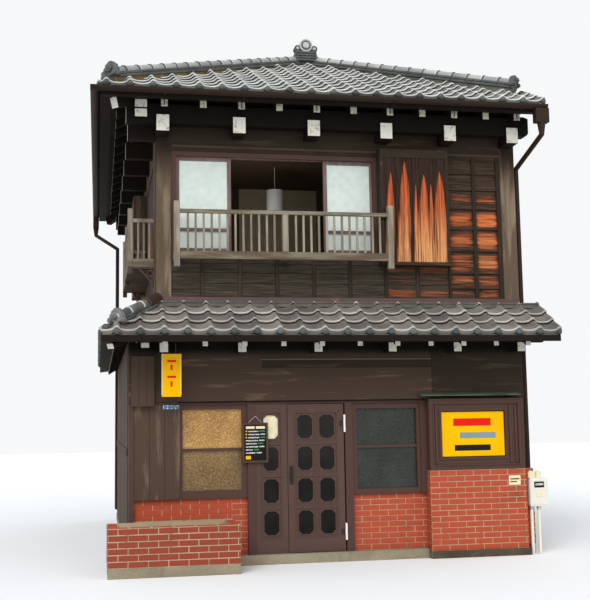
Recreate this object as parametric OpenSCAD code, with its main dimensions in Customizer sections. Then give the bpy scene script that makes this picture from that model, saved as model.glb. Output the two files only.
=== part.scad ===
// Two-storey timber townhouse on a street corner: shop front below, room with a balcony above,
// projecting beam-and-purlin eaves, a tiled skirt roof on two sides and a hipped tile roof.
// Millimetres. X to the right, Y away from the street, Z up.
// Origin: on the ground under the front left through post, at the plane of the posts' front faces.

/* [Plan] */
// Spacing of posts, arms and beam ends in the three left bays of the front
bay = 909; // [880:1:940]
// Spacing in the two narrower bays at the right end of the front
end_bay = 818; // [780:1:860]
// Depth of the house from the front post faces to the back wall
depth = 6470; // [6300:10:6700]
// How far the ground floor stands out to the left of the upper floor
side_step = 325; // [280:5:380]
// Thickness of the timber-frame walls with their boards
wall_t = 100; // [80:5:120]

/* [Levels] */
// Top of the concrete foundation
found_h = 110; // [90:5:140]
// Top of the brick dado under the shop windows
dado_h = 770; // [740:5:800]
// Underside of the board band over the shop front
band_low = 1900; // [1880:5:1920]
// Underside of the upper floor
floor_low = 2600; // [2560:5:2620]
// Thickness of the upper floor
floor_t = 120; // [100:5:130]
// Where the skirt roof's tiles meet the upper wall
skirt_top = 3050; // [3030:5:3070]
// Sill of the upper window
sill_z = 3650; // [3620:5:3680]
// Head of the upper window
head_z = 4920; // [4890:5:4950]
// Ceiling of the upper room
ceiling_z = 5060; // [5030:5:5070]

/* [Upper roof] */
// Rise of the upper roof for each unit of run
pitch = 0.46; // [0.43:0.005:0.48]
// Tile surface at the front, left and back eaves
eave_z = 5540; // [5500:5:5580]
// Overhang in front of the posts and behind the back wall
eave_front = 560; // [520:5:600]
// Overhang to the left of the upper left wall
eave_left = 675; // [640:5:720]
// Overhang to the right, where the roof is trimmed beside the neighbour
eave_right = 200; // [150:5:230]
// Vertical thickness of tiles, clay bed and boarding
roof_t = 187; // [170:1:200]

/* [Skirt roof] */
// How far the skirt roof reaches in front of the wall
skirt_out = 640; // [600:5:680]
// Fall of the skirt roof over that reach
skirt_fall = 370; // [340:5:400]

/* [Shop door] */
// Width of the hinged leaf
leaf_w = 686; // [670:1:690]
// Thickness of both leaves
leaf_t = 40; // [36:1:44]
// Height of the hinged leaf
leaf_h = 1737; // [1725:1:1740]
// Radius of the hinge pins
pin_r = 6; // [5:0.5:7]

/* [Hidden] */

// Front grid: five bays between six lines of posts, arms and beam ends
grid = [0, bay, 2 * bay, 3 * bay, 3 * bay + end_bay, 3 * bay + 2 * end_bay];
// Half-bay lines of the small rafters along the front
rafter_x = [for (i = [0 : 4], h = [0, 0.5]) grid[i] + h * (grid[i + 1] - grid[i]), grid[5]];

post_w = 170;
left_x = -post_w / 2;
right_x = 4460;
shop_x = left_x - side_step;
floor_z = floor_low + floor_t;

// Upper roof, measured from its eave line: ridge from front to back, all slopes alike
eave_x = left_x - eave_left;
trim_x = right_x + eave_right;
// The ridge stands a little to the right of the middle
ridge_shift = 34.5;
mid_x = (left_x + right_x) / 2 + ridge_shift;
roof_run = mid_x - eave_x;
front_y = -eave_front;
back_y = depth + eave_front;
ridge_y0 = front_y + roof_run;
ridge_y1 = back_y - roof_run;
apex_z = eave_z + roof_run * pitch;
// Run from the eave to the plumb cut ends of the rafters
rafter_in = 132;
side_rafter_in = 200;
rafter_sq = 78;
rafter_drop = rafter_sq * 1.1;
// Play left where a sloped top meets the timber or roof above it
seat_gap = 0.05;
// Height of the roof's underside at a run d from the eave
function under(d) = eave_z - roof_t + d * pitch;

// Skirt roof
skirt_t = 187;
skirt_end_x = right_x + 240;
skirt_side = 644;
skirt_corner_x = left_x - skirt_side;
skirt_rafter_in = 148;
skirt_sq = 60;

// Shop door and the leaf fixed beside it
leaf_x1 = 2148;
leaf_x0 = leaf_x1 - leaf_w;
leaf_y = 10;
leaf_z = 118;
hinge_x = leaf_x1 + 8;
hinge_y = leaf_y - 19;
knuckle_r = 12;
pin_gap = 0.05;
light_w = 178;
light_h = 276;
light_cut = 42;
light_z = 325;
light_pitch = 375.3;
door_rows = 4;
side_x1 = leaf_x0 - 6;

module block(x0, x1, y0, y1, z0, z1)
    translate([x0, y0, z0]) cube([x1 - x0, y1 - y0, z1 - z0]);

// A profile drawn in Y and Z, carried along X
module along_x(x0, x1)
    translate([x0, 0, 0]) rotate([90, 0, 90]) linear_extrude(x1 - x0) children();

// A profile drawn in X and Z, carried along Y
module along_y(y0, y1)
    translate([0, y1, 0]) rotate([90, 0, 0]) linear_extrude(y1 - y0) children();

// A rectangular frame in the plane of the front wall
module frame(x0, x1, y0, y1, z0, z1, side, top, bottom)
    difference() {
        block(x0, x1, y0, y1, z0, z1);
        block(x0 + side, x1 - side, y0 - 1, y1 + 1, z0 + bottom, z1 - top);
    }

// Base and brickwork

foundation_front = -60;
bay_x0 = 3183;
bay_x1 = 4409;
bay_y = -112;
bay_foot_z = 82;

module foundation() color("#a79c86") {
    block(shop_x - 20, right_x + 20, foundation_front, depth + 20, 0, found_h);
    block(bay_x0 - 20, bay_x1 + 20, bay_y - 40, foundation_front, 0, bay_foot_z);
}

jamb_left = [980, 1079];
jamb_right = [2164, 2259];
dado_y = [60, 170];

module brick_dado() color("#a8432f") {
    block(shop_x + corner_post, jamb_left[0], dado_y[0], dado_y[1], found_h, dado_h);
    block(jamb_right[1], bay_x0, dado_y[0], dado_y[1], found_h, dado_h);
    block(bay_x1, right_x, 0, dado_y[1], found_h, bay_sill_z);
}

bay_sill_z = 1035;

module bay_plinth() color("#a8432f")
    union() {
        block(bay_x0, bay_x1, bay_y, foundation_front, bay_foot_z, bay_sill_z);
        block(bay_x0, bay_x1, foundation_front, dado_y[1], found_h, bay_sill_z);
    }

planter_x = [-650, 792];
planter_y = [-700, foundation_front];
planter_h = 530;
planter_wall = 105;

module planter() color("#a04630")
    difference() {
        block(planter_x[0], planter_x[1], planter_y[0], planter_y[1], 0, planter_h);
        block(planter_x[0] + planter_wall, planter_x[1] - planter_wall,
            planter_y[0] + planter_wall, planter_y[1] - planter_wall, -1, planter_h + 1);
    }

module planter_soil() color("#3f3226")
    block(planter_x[0] + planter_wall, planter_x[1] - planter_wall,
        planter_y[0] + planter_wall, planter_y[1] - planter_wall, 0, planter_h - 60);

// Shop front

corner_post = 60;
corner_depth = 170;
lintel_low = 1862;
stop_in = 24;
stop_y = [58, 78];

module ground_posts() color("#4a342e") {
    block(shop_x, shop_x + corner_post, 0, corner_depth, found_h, lintel_low);
    block(jamb_left[0], jamb_left[1], 0, 120, found_h, lintel_low);
    union() {
        block(jamb_right[0], jamb_right[1], 0, 120, found_h, lintel_low);
        block(jamb_right[0] - stop_in, jamb_right[0], stop_y[0], stop_y[1], found_h, lintel_low);
    }
    block(window_2_x1, bay_x0, 0, 120, dado_h, lintel_low);
    block(bay_x1, right_x, 0, corner_depth, bay_sill_z, band_low);
}

boards_x1 = 185;
box_x = [-384, -115];
box_y = -60;
box_z = [1850, 2435];

module front_boards() color("#3a2c28") {
    block(shop_x + corner_post, boards_x1, 15, wall_t, dado_h, lintel_low);
    block(box_x[0], box_x[1], box_y, band_y[0], box_z[0], box_z[1]);
}

band_y = [-15, corner_depth];

module front_band() color("#332824")
    union() {
        block(shop_x, right_x, band_y[0], band_y[1], band_low, floor_low);
        block(shop_x, bay_x0, 0, band_y[1], lintel_low, band_low);
    }

module ground_left_wall() color("#3a2d28")
    block(shop_x, shop_x + wall_t, corner_depth, depth - wall_t, found_h, floor_low);

module ground_right_wall() color("#3a2d28")
    block(right_x - wall_t, right_x, corner_depth, depth - wall_t, found_h, floor_low);

module ground_back_wall() color("#3a2d28")
    block(shop_x, right_x, depth - wall_t, depth, found_h, floor_low);

window_bar = 30;
window_bar_z = 1338;
window_2_x1 = 3110;
// Openings of the two shop windows, as left, right, foot and head
window_1_light = [215, 917, 862, 1808];
window_2_light = [2312, 3066, 835, 1795];

module shop_window(x0, x1, light)
    union() {
        difference() {
            block(x0, x1, 25, 95, dado_h, lintel_low);
            block(light[0], light[1], 24, 96, light[2], light[3]);
        }
        block(light[0], light[1], 35, 60, window_bar_z - window_bar / 2, window_bar_z + window_bar / 2);
    }

module shop_glass(light)
    block(light[0], light[1], 62, 68, light[2], light[3]);

module window_1_frame() color("#40302b")
    shop_window(boards_x1, jamb_left[0], window_1_light);

module window_1_glass() color("#c79a4a", 0.6)
    shop_glass(window_1_light);

module window_2_frame() color("#40302b")
    shop_window(jamb_right[1], window_2_x1, window_2_light);

module window_2_glass() color("#4b5a55", 0.6)
    shop_glass(window_2_light);

// Door leaves with octagonal lights

module light_outline(grow = 0) {
    w = light_w / 2 + grow;
    h = light_h / 2 + grow;
    c = light_cut;
    polygon([[-w, -h + c], [-w + c, -h], [w - c, -h], [w, -h + c],
        [w, h - c], [w - c, h], [-w + c, h], [-w, h - c]]);
}

// Each light's centre in X and Z, for the columns given
module at_lights(columns)
    for (x = columns, row = [0 : door_rows - 1])
        translate([x, 0, light_z + light_h / 2 + row * light_pitch]) children();

panel_w = 240;
panel_h = 330;
panel_in = 6;

module panelled_leaf(x0, x1, z0, z1, columns)
    difference() {
        block(x0, x1, leaf_y, leaf_y + leaf_t, z0, z1);
        at_lights(columns) {
            along_y(leaf_y - 1, leaf_y + leaf_t + 1) light_outline();
            along_y(leaf_y - 1, leaf_y + panel_in)
                square([panel_w, panel_h], center = true);
        }
    }

module lights_glass(columns)
    at_lights(columns) along_y(leaf_y + 16, leaf_y + 22) light_outline(-0.5);

leaf_columns = [1671, 1939];
side_columns = [1259];

module side_leaf() color("#4e322d") {
    panelled_leaf(jamb_left[1], side_x1, found_h, lintel_low, side_columns);
}

module side_leaf_glass() color("#6d6a55", 0.6)
    lights_glass(side_columns);

module door_leaf() color("#4e322d")
    panelled_leaf(leaf_x0, leaf_x1, leaf_z, leaf_z + leaf_h, leaf_columns);

module door_glass() color("#4b5048", 0.6)
    lights_glass(leaf_columns);

hinge_z = [[245, 441], [1517, 1724]];
knuckles = 3;
knuckle_play = 1;

function knuckle_h(span) = (span[1] - span[0]) / knuckles;

handle_x = 1503;
handle_z = [910, 1132];

// Barrel of one hinge: the knuckles of the given parity, each a true tube round the pin
module knuckle(span, k)
    translate([hinge_x, hinge_y, span[0] + k * knuckle_h(span) + knuckle_play / 2])
        difference() {
            cylinder(r = knuckle_r, h = knuckle_h(span) - knuckle_play, $fn = 48);
            translate([0, 0, -1])
                cylinder(r = pin_r + pin_gap, h = knuckle_h(span) + 2, $fn = 48);
        }

module door_hardware() color("#b9b7b0") {
    for (span = hinge_z) union() {
        knuckle(span, 1);
        for (part = [[-60, -8, leaf_y - 4], [-14, -8, hinge_y]])
            block(hinge_x + part[0], hinge_x + part[1], part[2], leaf_y,
                span[0] + knuckle_h(span) + knuckle_play / 2, span[1] - knuckle_h(span) - knuckle_play / 2);
    }
    union() {
        block(handle_x - 22, handle_x + 22, leaf_y - 4, leaf_y, handle_z[0], handle_z[1]);
        for (z = [handle_z[0] + 50, handle_z[1] - 30])
            translate([handle_x, leaf_y - 3, z]) rotate([90, 0, 0]) cylinder(r = 6, h = 34, $fn = 24);
        translate([handle_x, leaf_y - 37, handle_z[0] + 40])
            cylinder(r = 9, h = handle_z[1] - handle_z[0] - 60, $fn = 24);
    }
}

module hinge_pins() color("#d8d5cc")
    for (span = hinge_z) union() {
        translate([hinge_x, hinge_y, span[0]])
            cylinder(r = pin_r, h = span[1] - span[0], $fn = 48);
        for (k = [0, 2])
            translate([hinge_x, hinge_y, span[0] + k * knuckle_h(span)])
                cylinder(r = knuckle_r, h = knuckle_h(span), $fn = 48);
        for (k = [0, 2])
            block(hinge_x + 4, jamb_right[0] + 30, hinge_y, 0,
                span[0] + k * knuckle_h(span), span[0] + (k + 1) * knuckle_h(span));
    }

// Display bay with its lit panel

bay_top_z = 1900;
panel_x = [3352, 4150];
panel_z = [1198, 1735];
bay_recess = 60;
bay_return = 12;
canopy_x = [3082, 4362];

module bay_frame() color("#46302b")
    difference() {
        union() {
            block(bay_x0, bay_x1 - bay_return, bay_y, 0, bay_sill_z, bay_top_z);
            block(bay_x0, bay_x1, 0, 120, bay_sill_z, bay_top_z);
        }
        block(panel_x[0] - 10, panel_x[1] + 10, bay_y - 1, bay_y + 45, panel_z[0] - 10, panel_z[1] + 10);
        block(bay_x0 + bay_recess, bay_x1 - bay_return - bay_recess, bay_y - 1, bay_y + 12,
            bay_sill_z + bay_recess, bay_top_z - bay_recess);
    }

module bay_panel() color("#f2c211")
    block(panel_x[0], panel_x[1], bay_y + 20, bay_y + 45, panel_z[0], panel_z[1]);

module bay_canopy() color("#6f7a6c")
    along_x(canopy_x[0], canopy_x[1])
        polygon([[band_y[0], 1975], [bay_y - 60, 1943], [bay_y - 60, 1931], [band_y[0], 1955]]);

// Skirt roof over the shop

arm_w = 95;
arm_low = 2466;
arm_high = 2576;
arm_out = 274;
skirt_eave_z = skirt_top - skirt_fall;
skirt_edge = 120;

// Underside of the skirt roof at a reach r, on the side that reaches out in all
function skirt_under(r, out = skirt_out) = skirt_top - skirt_t - r * skirt_fall / out;

// Section of the skirt roof: reach in front of the wall against height
module skirt_section(out = skirt_out) {
    cut = out - skirt_rafter_in;
    polygon([[0, skirt_top], [-out, skirt_eave_z], [-out, skirt_eave_z - skirt_edge],
        [-cut, skirt_under(cut, out)], [0, skirt_under(0, out)]]);
}

// Section of one skirt rafter, plumb cut at its end, starting at a reach r
module skirt_rafter(r, out = skirt_out) {
    cut = out - skirt_rafter_in;
    polygon([[-r, skirt_under(r, out) - seat_gap], [-cut, skirt_under(cut, out) - seat_gap],
        [-cut, skirt_under(cut, out) - skirt_sq], [-r, skirt_under(r, out) - skirt_sq]]);
}

// All the space under the skirt roof
module below_skirt()
    intersection() {
        along_x(skirt_corner_x, skirt_end_x)
            polygon([[-skirt_out, 0], [0, 0], [0, skirt_under(0) - seat_gap],
                [-skirt_out, skirt_under(skirt_out) - seat_gap]]);
        along_y(-skirt_out, depth) translate([left_x, 0])
            polygon([[-skirt_side, 0], [0, 0], [0, skirt_under(0) - seat_gap],
                [-skirt_side, skirt_under(skirt_side, skirt_side) - seat_gap]]);
    }

skirt_hip_w = 90;

// Hip rafter under the corner of the skirt roof, from near the eave to the wall
module skirt_hip_rafter() {
    cut = skirt_out - skirt_rafter_in + 60;
    foot = [left_x - cut, -cut, skirt_under(cut)];
    head = [left_x - 45, -45, skirt_under(45)];
    intersection() {
        along_line(foot, head) translate([-skirt_hip_w / 2, -skirt_sq]) square([skirt_hip_w, skirt_sq + 40]);
        below_skirt();
    }
}

skirt_purlin_y = [-arm_out + 10, -arm_out + 90];
skirt_purlin_x = [-330, skirt_end_x - 60];

module skirt_arms()
    for (x = grid)
        block(x - arm_w / 2 - 20, x + arm_w / 2 - 20, -arm_out, band_y[0], arm_low, arm_high);

module skirt_purlin()
    along_x(skirt_purlin_x[0], skirt_purlin_x[1])
        polygon([for (y = skirt_purlin_y) [y, arm_high],
            for (i = [1, 0]) [skirt_purlin_y[i], skirt_under(-skirt_purlin_y[i]) - skirt_sq - seat_gap]]);

module skirt_rafters() {
    for (x = rafter_x)
        along_x(x - skirt_sq / 2 - 20, x + skirt_sq / 2 - 20) skirt_rafter(0);
    for (y = [0 : bay / 2 : depth])
        along_y(y, y + skirt_sq) translate([left_x, 0]) skirt_rafter(side_step, skirt_side);
}

// Plan of one side of a hipped corner, running far enough for the other side
module skirt_plan_front()
    polygon([[left_x, 0], [skirt_corner_x, -skirt_out], [skirt_end_x, -skirt_out], [skirt_end_x, 0]]);

module skirt_plan_left()
    polygon([[left_x, 0], [left_x, depth], [skirt_corner_x, depth], [skirt_corner_x, -skirt_out]]);

module skirt_roof_front() color("#5c5d5b")
    intersection() {
        along_x(skirt_corner_x, skirt_end_x) skirt_section();
        linear_extrude(2 * skirt_top) skirt_plan_front();
    }

module skirt_roof_left() color("#5c5d5b")
    intersection() {
        along_y(-skirt_out, depth) translate([left_x, 0]) skirt_section(skirt_side);
        linear_extrude(2 * skirt_top) skirt_plan_left();
    }

// Round cap tiles over flat courses, drawn across the line of a ridge with its foot at zero
module ridge_profile(w, courses_h, cap_r, lift = 0)
    union() {
        translate([-w / 2, -ridge_sink - lift]) square([w, courses_h + ridge_sink + lift]);
        translate([0, courses_h]) circle(r = cap_r, $fn = 24);
    }

// Carries a profile from one point to another, upright across the line between them
module along_line(p, q) {
    d = q - p;
    flat = norm([d[0], d[1]]);
    translate(p) rotate([0, 0, atan2(d[1], d[0])]) rotate([0, -atan2(d[2], flat), 0])
        rotate([90, 0, 90]) linear_extrude(norm(d)) children();
}

// Gable tile at the end of a ridge: a disc on shoulders, facing along the line
module ridge_end(at, turn, r)
    translate(at) rotate([0, 0, turn]) union() {
        rotate([0, 90, 0]) cylinder(r = r, h = end_tile_t, center = true, $fn = 32);
        translate([-end_tile_t / 2, -1.35 * r, -1.5 * r]) cube([end_tile_t, 2.7 * r, 1.3 * r]);
    }

ridge_sink = 20;
end_tile_t = 70;
hip_w = 150;
hip_courses = 70;
hip_cap_r = 62;
skirt_hip_off = 90;
skirt_hip_lift = 50;

module skirt_hip() color("#54554f") {
    top = [left_x, 0, skirt_top];
    foot = [skirt_corner_x, -skirt_out, skirt_eave_z];
    start = top + [80, -skirt_hip_off, -skirt_hip_off * skirt_fall / skirt_out + 20];
    end = top + 0.83 * (foot - top) + [0, 0, skirt_hip_lift];
    difference() {
        union() {
            along_line(start, end) ridge_profile(hip_w, hip_courses, hip_cap_r, skirt_hip_lift);
            ridge_end(end + [0, 0, hip_courses + 15], 225, 85);
        }
        skirt_roof_front();
        skirt_roof_left();
        skirt_flashing();
    }
}

flashing_h = 90;
noshi_out = 55;
noshi_h = 38;

// Course of flat tiles along the wall above the skirt roof, and the sheet lip over it
module skirt_flashing() color("#4a3a34") {
    fall = skirt_fall / skirt_out;
    union() {
        along_x(left_x, skirt_end_x)
            polygon([[0, skirt_top + seat_gap], [-noshi_out, skirt_top - noshi_out * fall + seat_gap],
                [-noshi_out, skirt_top + noshi_h], [0, skirt_top + noshi_h]]);
        along_x(left_x, right_x)
            polygon([[-30, skirt_top + noshi_h], [0, skirt_top + noshi_h],
                [0, skirt_top + flashing_h], [-12, skirt_top + flashing_h]]);
    }
}

// Upper storey

plate_h = 60;

// All the space under the upper roof
module below_roof()
    intersection() {
        along_x(eave_x, trim_x)
            polygon([[front_y, 0], [back_y, 0], [back_y, under(0) - seat_gap],
                [depth / 2, under(depth / 2 - front_y) - seat_gap], [front_y, under(0) - seat_gap]]);
        along_y(front_y, back_y)
            polygon([[eave_x, 0], [2 * mid_x - eave_x, 0], [2 * mid_x - eave_x, under(0) - seat_gap],
                [mid_x, under(roof_run) - seat_gap], [eave_x, under(0) - seat_gap]]);
    }

// A wall or post that runs up to the roof
module wall_block(x0, x1, y0, y1, z0)
    intersection() {
        block(x0, x1, y0, y1, z0, apex_z);
        below_roof();
    }

module upper_floor() color("#6b5140")
    union() {
        block(shop_x + wall_t, right_x, 0, depth, floor_low, floor_z);
        block(shop_x, shop_x + wall_t, 0, depth, floor_low, floor_low + plate_h);
    }

module upper_posts() color("#6e5b4c") {
    wall_block(left_x, left_x + post_w, 0, post_w, floor_z);
    wall_block(post_r, right_x, 0, post_w, floor_z);
}

wall_y = [25, 105];
post_l = left_x + post_w;
post_r = right_x - 195;
window_x = [142, 2604];
window_frame_x1 = 2640;

module front_low_wall() color("#2f2521")
    union() {
        block(post_l, post_r, 0, wall_y[1], floor_z, skirt_top + flashing_h);
        block(post_l, post_r, wall_y[0], wall_y[1], floor_z, sill_z);
    }

module clapboard_wall() color("#37291f")
    block(window_frame_x1, post_r, wall_y[0], wall_y[1], sill_z, head_z);

frieze_t = 130;

module frieze() color("#2b211d")
    wall_block(post_l, post_r, 0, frieze_t, head_z);

side_window_y = [620, 2900];

module upper_left_wall() color("#2f2521")
    difference() {
        wall_block(left_x, left_x + wall_t, post_w, depth - wall_t, floor_z);
        block(left_x - 1, left_x + wall_t + 1, side_window_y[0], side_window_y[1], sill_z, head_z);
    }

side_box_out = 170;

// Closed shutters in the side window and the box that they slide into
module side_shutters() color("#4b3023") {
    block(left_x + 25, left_x + 65, side_window_y[0], side_window_y[1], sill_z, head_z);
    block(left_x - side_box_out, left_x, side_window_y[1] + 5, side_window_y[1] + 885,
        shutter_z[0], shutter_z[1]);
}

module upper_right_wall() color("#2f2521")
    wall_block(right_x - wall_t, right_x, post_w, depth - wall_t, floor_z);

module upper_back_wall() color("#2f2521")
    wall_block(left_x, right_x, depth - wall_t, depth, floor_z);

sash_t = 35;
sash_y = 60;
sash_left = [142, 815];
sash_right = [1968, 2604];
sash_stile = 45;
sash_foot = 60;
sash_rail_z = [3945, 3985];
frame_head = 60;
frame_sill = 30;

// One sliding sash: stiles, rails and a low middle rail
module sash(x, y) {
    frame(x[0], x[1], y, y + sash_t, sill_z + frame_sill, head_z - frame_head,
        sash_stile, sash_stile, sash_foot);
    block(x[0] + sash_stile, x[1] - sash_stile, y, y + sash_t, sash_rail_z[0], sash_rail_z[1]);
}

module sashes() color("#7d675a")
    union() {
        frame(post_l, window_frame_x1, 15, 125, sill_z, head_z, window_x[0] - post_l, frame_head, frame_sill);
        sash(sash_left, sash_y);
        sash(sash_right, sash_y);
    }

module sash_glass() color("#cfd8d2", 0.6)
    for (x = [sash_left, sash_right])
        for (z = [[sill_z + frame_sill + sash_foot, sash_rail_z[0]],
                [sash_rail_z[1], head_z - frame_head - sash_stile]])
            block(x[0] + sash_stile, x[1] - sash_stile, sash_y + 14, sash_y + 19, z[0], z[1]);

shutter_x = [window_frame_x1, 3520];
shutter_z = [3535, 4990];
shutter_out = 150;
shutter_rim = 40;

module shutter_box() color("#4b3023")
    difference() {
        block(shutter_x[0], shutter_x[1], -shutter_out, wall_y[0], shutter_z[0], shutter_z[1]);
        block(shutter_x[0] + shutter_rim, shutter_x[1] - shutter_rim,
            -shutter_out - 1, -shutter_out + 18, shutter_z[0] + shutter_rim, shutter_z[1] - shutter_rim);
        block(shutter_x[0] + shutter_rim, shutter_x[1] - shutter_rim,
            -shutter_out + 40, wall_y[0] + 1, shutter_z[0] + shutter_rim, shutter_z[1] - shutter_rim);
        block(shutter_x[0] - 1, shutter_x[1] + 1, 0, wall_y[0] + 1, head_z, shutter_z[1] + 1);
    }

// Balconies: posts, two rails and square balusters

rail_top_z = [4120, 4165];
rail_low_z = [3572, 3665];
baluster = 25;
baluster_gap = 91;
balcony_y = -185;
balcony_post = 70;
balcony_x = [103, 1400, 2705];
balcony_post_z = [3476, 4259];
balcony_floor_z = 3572;

// Rails and balusters from a to b along X, in front of the plane y
module rails_along_x(a, b, y, half, gap = baluster_gap) {
    block(a, b, y - half, y + half, rail_top_z[0], rail_top_z[1]);
    block(a, b, y - half, y + half, rail_low_z[0], rail_low_z[1]);
    n = floor((b - a) / gap);
    step = (b - a) / n;
    for (i = [1 : n - 1])
        block(a + i * step - baluster / 2, a + i * step + baluster / 2,
            y - baluster / 2, y + baluster / 2, rail_low_z[1], rail_top_z[0]);
}

module rails_along_y(a, b, x, half)
    translate([x, 0, 0]) rotate([0, 0, 90]) rails_along_x(a, b, 0, half);

module balcony() color("#8d7b6b")
    union() {
        for (x = balcony_x)
            block(x, x + balcony_post, balcony_y - 35, balcony_y + 35,
                balcony_post_z[0], balcony_post_z[1]);
        rails_along_x(balcony_x[0] + balcony_post, balcony_x[1], balcony_y, 25);
        rails_along_x(balcony_x[1] + balcony_post, balcony_x[2], balcony_y, 25);
        for (x = [balcony_x[0], balcony_x[1]])
            block(x, x + balcony_post, balcony_y + 35, wall_y[0], rail_low_z[0], sill_z);
    }

side_rail_x = -385;
side_rail_y = [450, 2900];
side_post = 60;
return_gap = 65;

module side_balcony() color("#7d6959")
    union() {
        for (y = [side_rail_y[0], (side_rail_y[0] + side_rail_y[1]) / 2, side_rail_y[1] - side_post])
            block(side_rail_x - side_post / 2, side_rail_x + side_post / 2, y, y + side_post,
                balcony_post_z[0], balcony_post_z[1] + 30);
        rails_along_y(side_rail_y[0] + side_post, side_rail_y[1] - side_post, side_rail_x, 25);
        for (y = [side_rail_y[0] + side_post / 2, side_rail_y[1] - side_post / 2])
            rails_along_x(side_rail_x + side_post / 2, left_x, y, 20, return_gap);
        block(side_rail_x - 25, left_x, side_rail_y[0] + 5, side_rail_y[1] - 5,
            balcony_floor_z - 30, balcony_floor_z + 5);
        for (y = [side_rail_y[0] + 10, side_rail_y[1] - side_post + 10]) scroll_bracket(y);
    }

bracket_w = 190;
bracket_h = 230;
bracket_t = 30;

// Openwork bracket under the side balcony: an arm along the wall, a brace and a ring between
module scroll_bracket(y)
    along_y(y, y + bracket_t) translate([left_x, balcony_floor_z - 30]) union() {
        translate([-22, -bracket_h]) square([22, bracket_h]);
        polygon([[0, -bracket_h], [0, -bracket_h + 30], [-bracket_w + 20, 0], [-bracket_w - 10, 0]]);
        translate([-58, -58]) difference() {
            circle(r = 46, $fn = 32);
            circle(r = 30, $fn = 32);
        }
    }

// Eaves: arms through the wall carry the purlins, which carry the rafters

eave_arm_w = 150;
eave_arm_z = [5080, 5275];
eave_arm_out = 283;
side_arm_z = [5040, 5240];
side_arm_x = -430;
side_arms = 8;
side_arm_w = 105;
side_arm_gap = 15;

module upper_arms()
    for (x = grid)
        block(x - eave_arm_w / 2 - 30, x + eave_arm_w / 2 - 30, -eave_arm_out, 0,
            eave_arm_z[0], eave_arm_z[1]);

module eave_arms() color("#2d2320") {
    skirt_arms();
    upper_arms();
    translate([0, depth, 0]) mirror([0, 1, 0]) upper_arms();
    for (k = [0 : side_arms - 1])
        block(side_arm_x, left_x, k * bay + side_arm_gap, k * bay + side_arm_gap + side_arm_w,
            side_arm_z[0], side_arm_z[1]);
}

front_purlin_y = [-250, -110];
side_purlin_x = [-355, -215];
purlin_low = 5180;
side_purlin_low = 5240;
purlin_ends_x = [-455, right_x + 105];
// Height of the rafters' underside at a run d from the eave, and of the purlins' tops under it
function rafter_under(d) = under(d) - rafter_drop;
function purlin_top(d) = rafter_under(d) - seat_gap;

purlin_scroll = 60;

// Front purlin, its right end rounded off below
module front_purlin()
    difference() {
        along_x(purlin_ends_x[0], purlin_ends_x[1])
            polygon([[front_purlin_y[0], purlin_low], [front_purlin_y[1], purlin_low],
                for (y = [front_purlin_y[1], front_purlin_y[0]]) [y, purlin_top(y - front_y)]]);
        along_y(front_purlin_y[0] - 1, front_purlin_y[1] + 1)
            translate([purlin_ends_x[1] - purlin_scroll, purlin_low + purlin_scroll]) difference() {
                translate([0, -purlin_scroll - 1]) square(purlin_scroll + 1);
                circle(r = purlin_scroll, $fn = 48);
            }
    }

hip_rafter_w = 95;
hip_rafter_h = 130;

// Hip rafter under a left corner, from the eave to the wall
module hip_rafter() {
    edge = 150;
    wall = left_x - eave_x;
    foot = [eave_x + edge, front_y + edge, under(edge)];
    head = [left_x - 1, front_y + wall, under(wall)];
    intersection() {
        along_line(foot, head) translate([-hip_rafter_w / 2, -hip_rafter_h])
            square([hip_rafter_w, hip_rafter_h + 40]);
        below_roof();
        block(eave_x, left_x, front_y, depth, 0, apex_z);
    }
}

module at_both_ends() {
    children();
    translate([0, depth, 0]) mirror([0, 1, 0]) children();
}

module purlins() color("#2d2320") {
    difference() {
        intersection() {
            union() {
                at_both_ends() front_purlin();
                along_y(-eave_arm_out, depth + eave_arm_out)
                    polygon([for (x = side_purlin_x) [x, side_purlin_low],
                        for (i = [1, 0]) [side_purlin_x[i], purlin_top(side_purlin_x[i] - eave_x)]]);
            }
            below_roof();
        }
        at_both_ends() {
            upper_arms();
            hip_rafter();
        }
    }
    difference() {
        skirt_purlin();
        skirt_hip_rafter();
    }
}

// One front rafter's side: top edge along the roof's underside, plumb cut at the end
module rafter_side(d0, d1)
    polygon([for (d = [d0, d1]) [d, under(d) - seat_gap], for (d = [d1, d0]) [d, rafter_under(d)]]);

module upper_rafters()
    for (x = rafter_x)
        along_x(x - rafter_sq / 2 - 20, x + rafter_sq / 2 - 20)
            translate([front_y, 0]) rafter_side(rafter_in, eave_front);

module rafters() color("#2b211e") {
    at_both_ends() {
        upper_rafters();
        hip_rafter();
    }
    for (y = [bay / 4 : bay / 2 : depth])
        along_y(y - rafter_sq / 2, y + rafter_sq / 2)
            translate([eave_x, 0]) rafter_side(side_rafter_in, eave_left);
    skirt_rafters();
    skirt_hip_rafter();
}

// Roof slopes: one section for all, mitred over the hips

module roof_section()
    polygon([[0, eave_z], [0, eave_z - 145], [rafter_in, under(rafter_in)],
        [roof_run, under(roof_run)], [roof_run, apex_z]]);

module front_slope()
    intersection() {
        along_x(eave_x, trim_x) translate([front_y, 0]) roof_section();
        linear_extrude(2 * apex_z)
            polygon([[eave_x, front_y], [trim_x, front_y], [trim_x, ridge_y0 - (trim_x - mid_x)],
                [mid_x, ridge_y0]]);
    }

module side_slope(edge)
    intersection() {
        along_y(front_y, back_y) translate([eave_x, 0]) roof_section();
        linear_extrude(2 * apex_z)
            polygon([[eave_x + edge, front_y + edge], [mid_x, ridge_y0], [mid_x, ridge_y1],
                [eave_x + edge, back_y - edge]]);
    }

module roof_front() color("#8a8d8d") front_slope();

module roof_back() color("#8a8d8d")
    translate([0, depth, 0]) mirror([0, 1, 0]) front_slope();

module roof_left() color("#8a8d8d") side_slope(0);

module roof_right() color("#8a8d8d")
    translate([2 * mid_x, 0, 0]) mirror([1, 0, 0]) side_slope(2 * mid_x - trim_x - eave_x);

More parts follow.
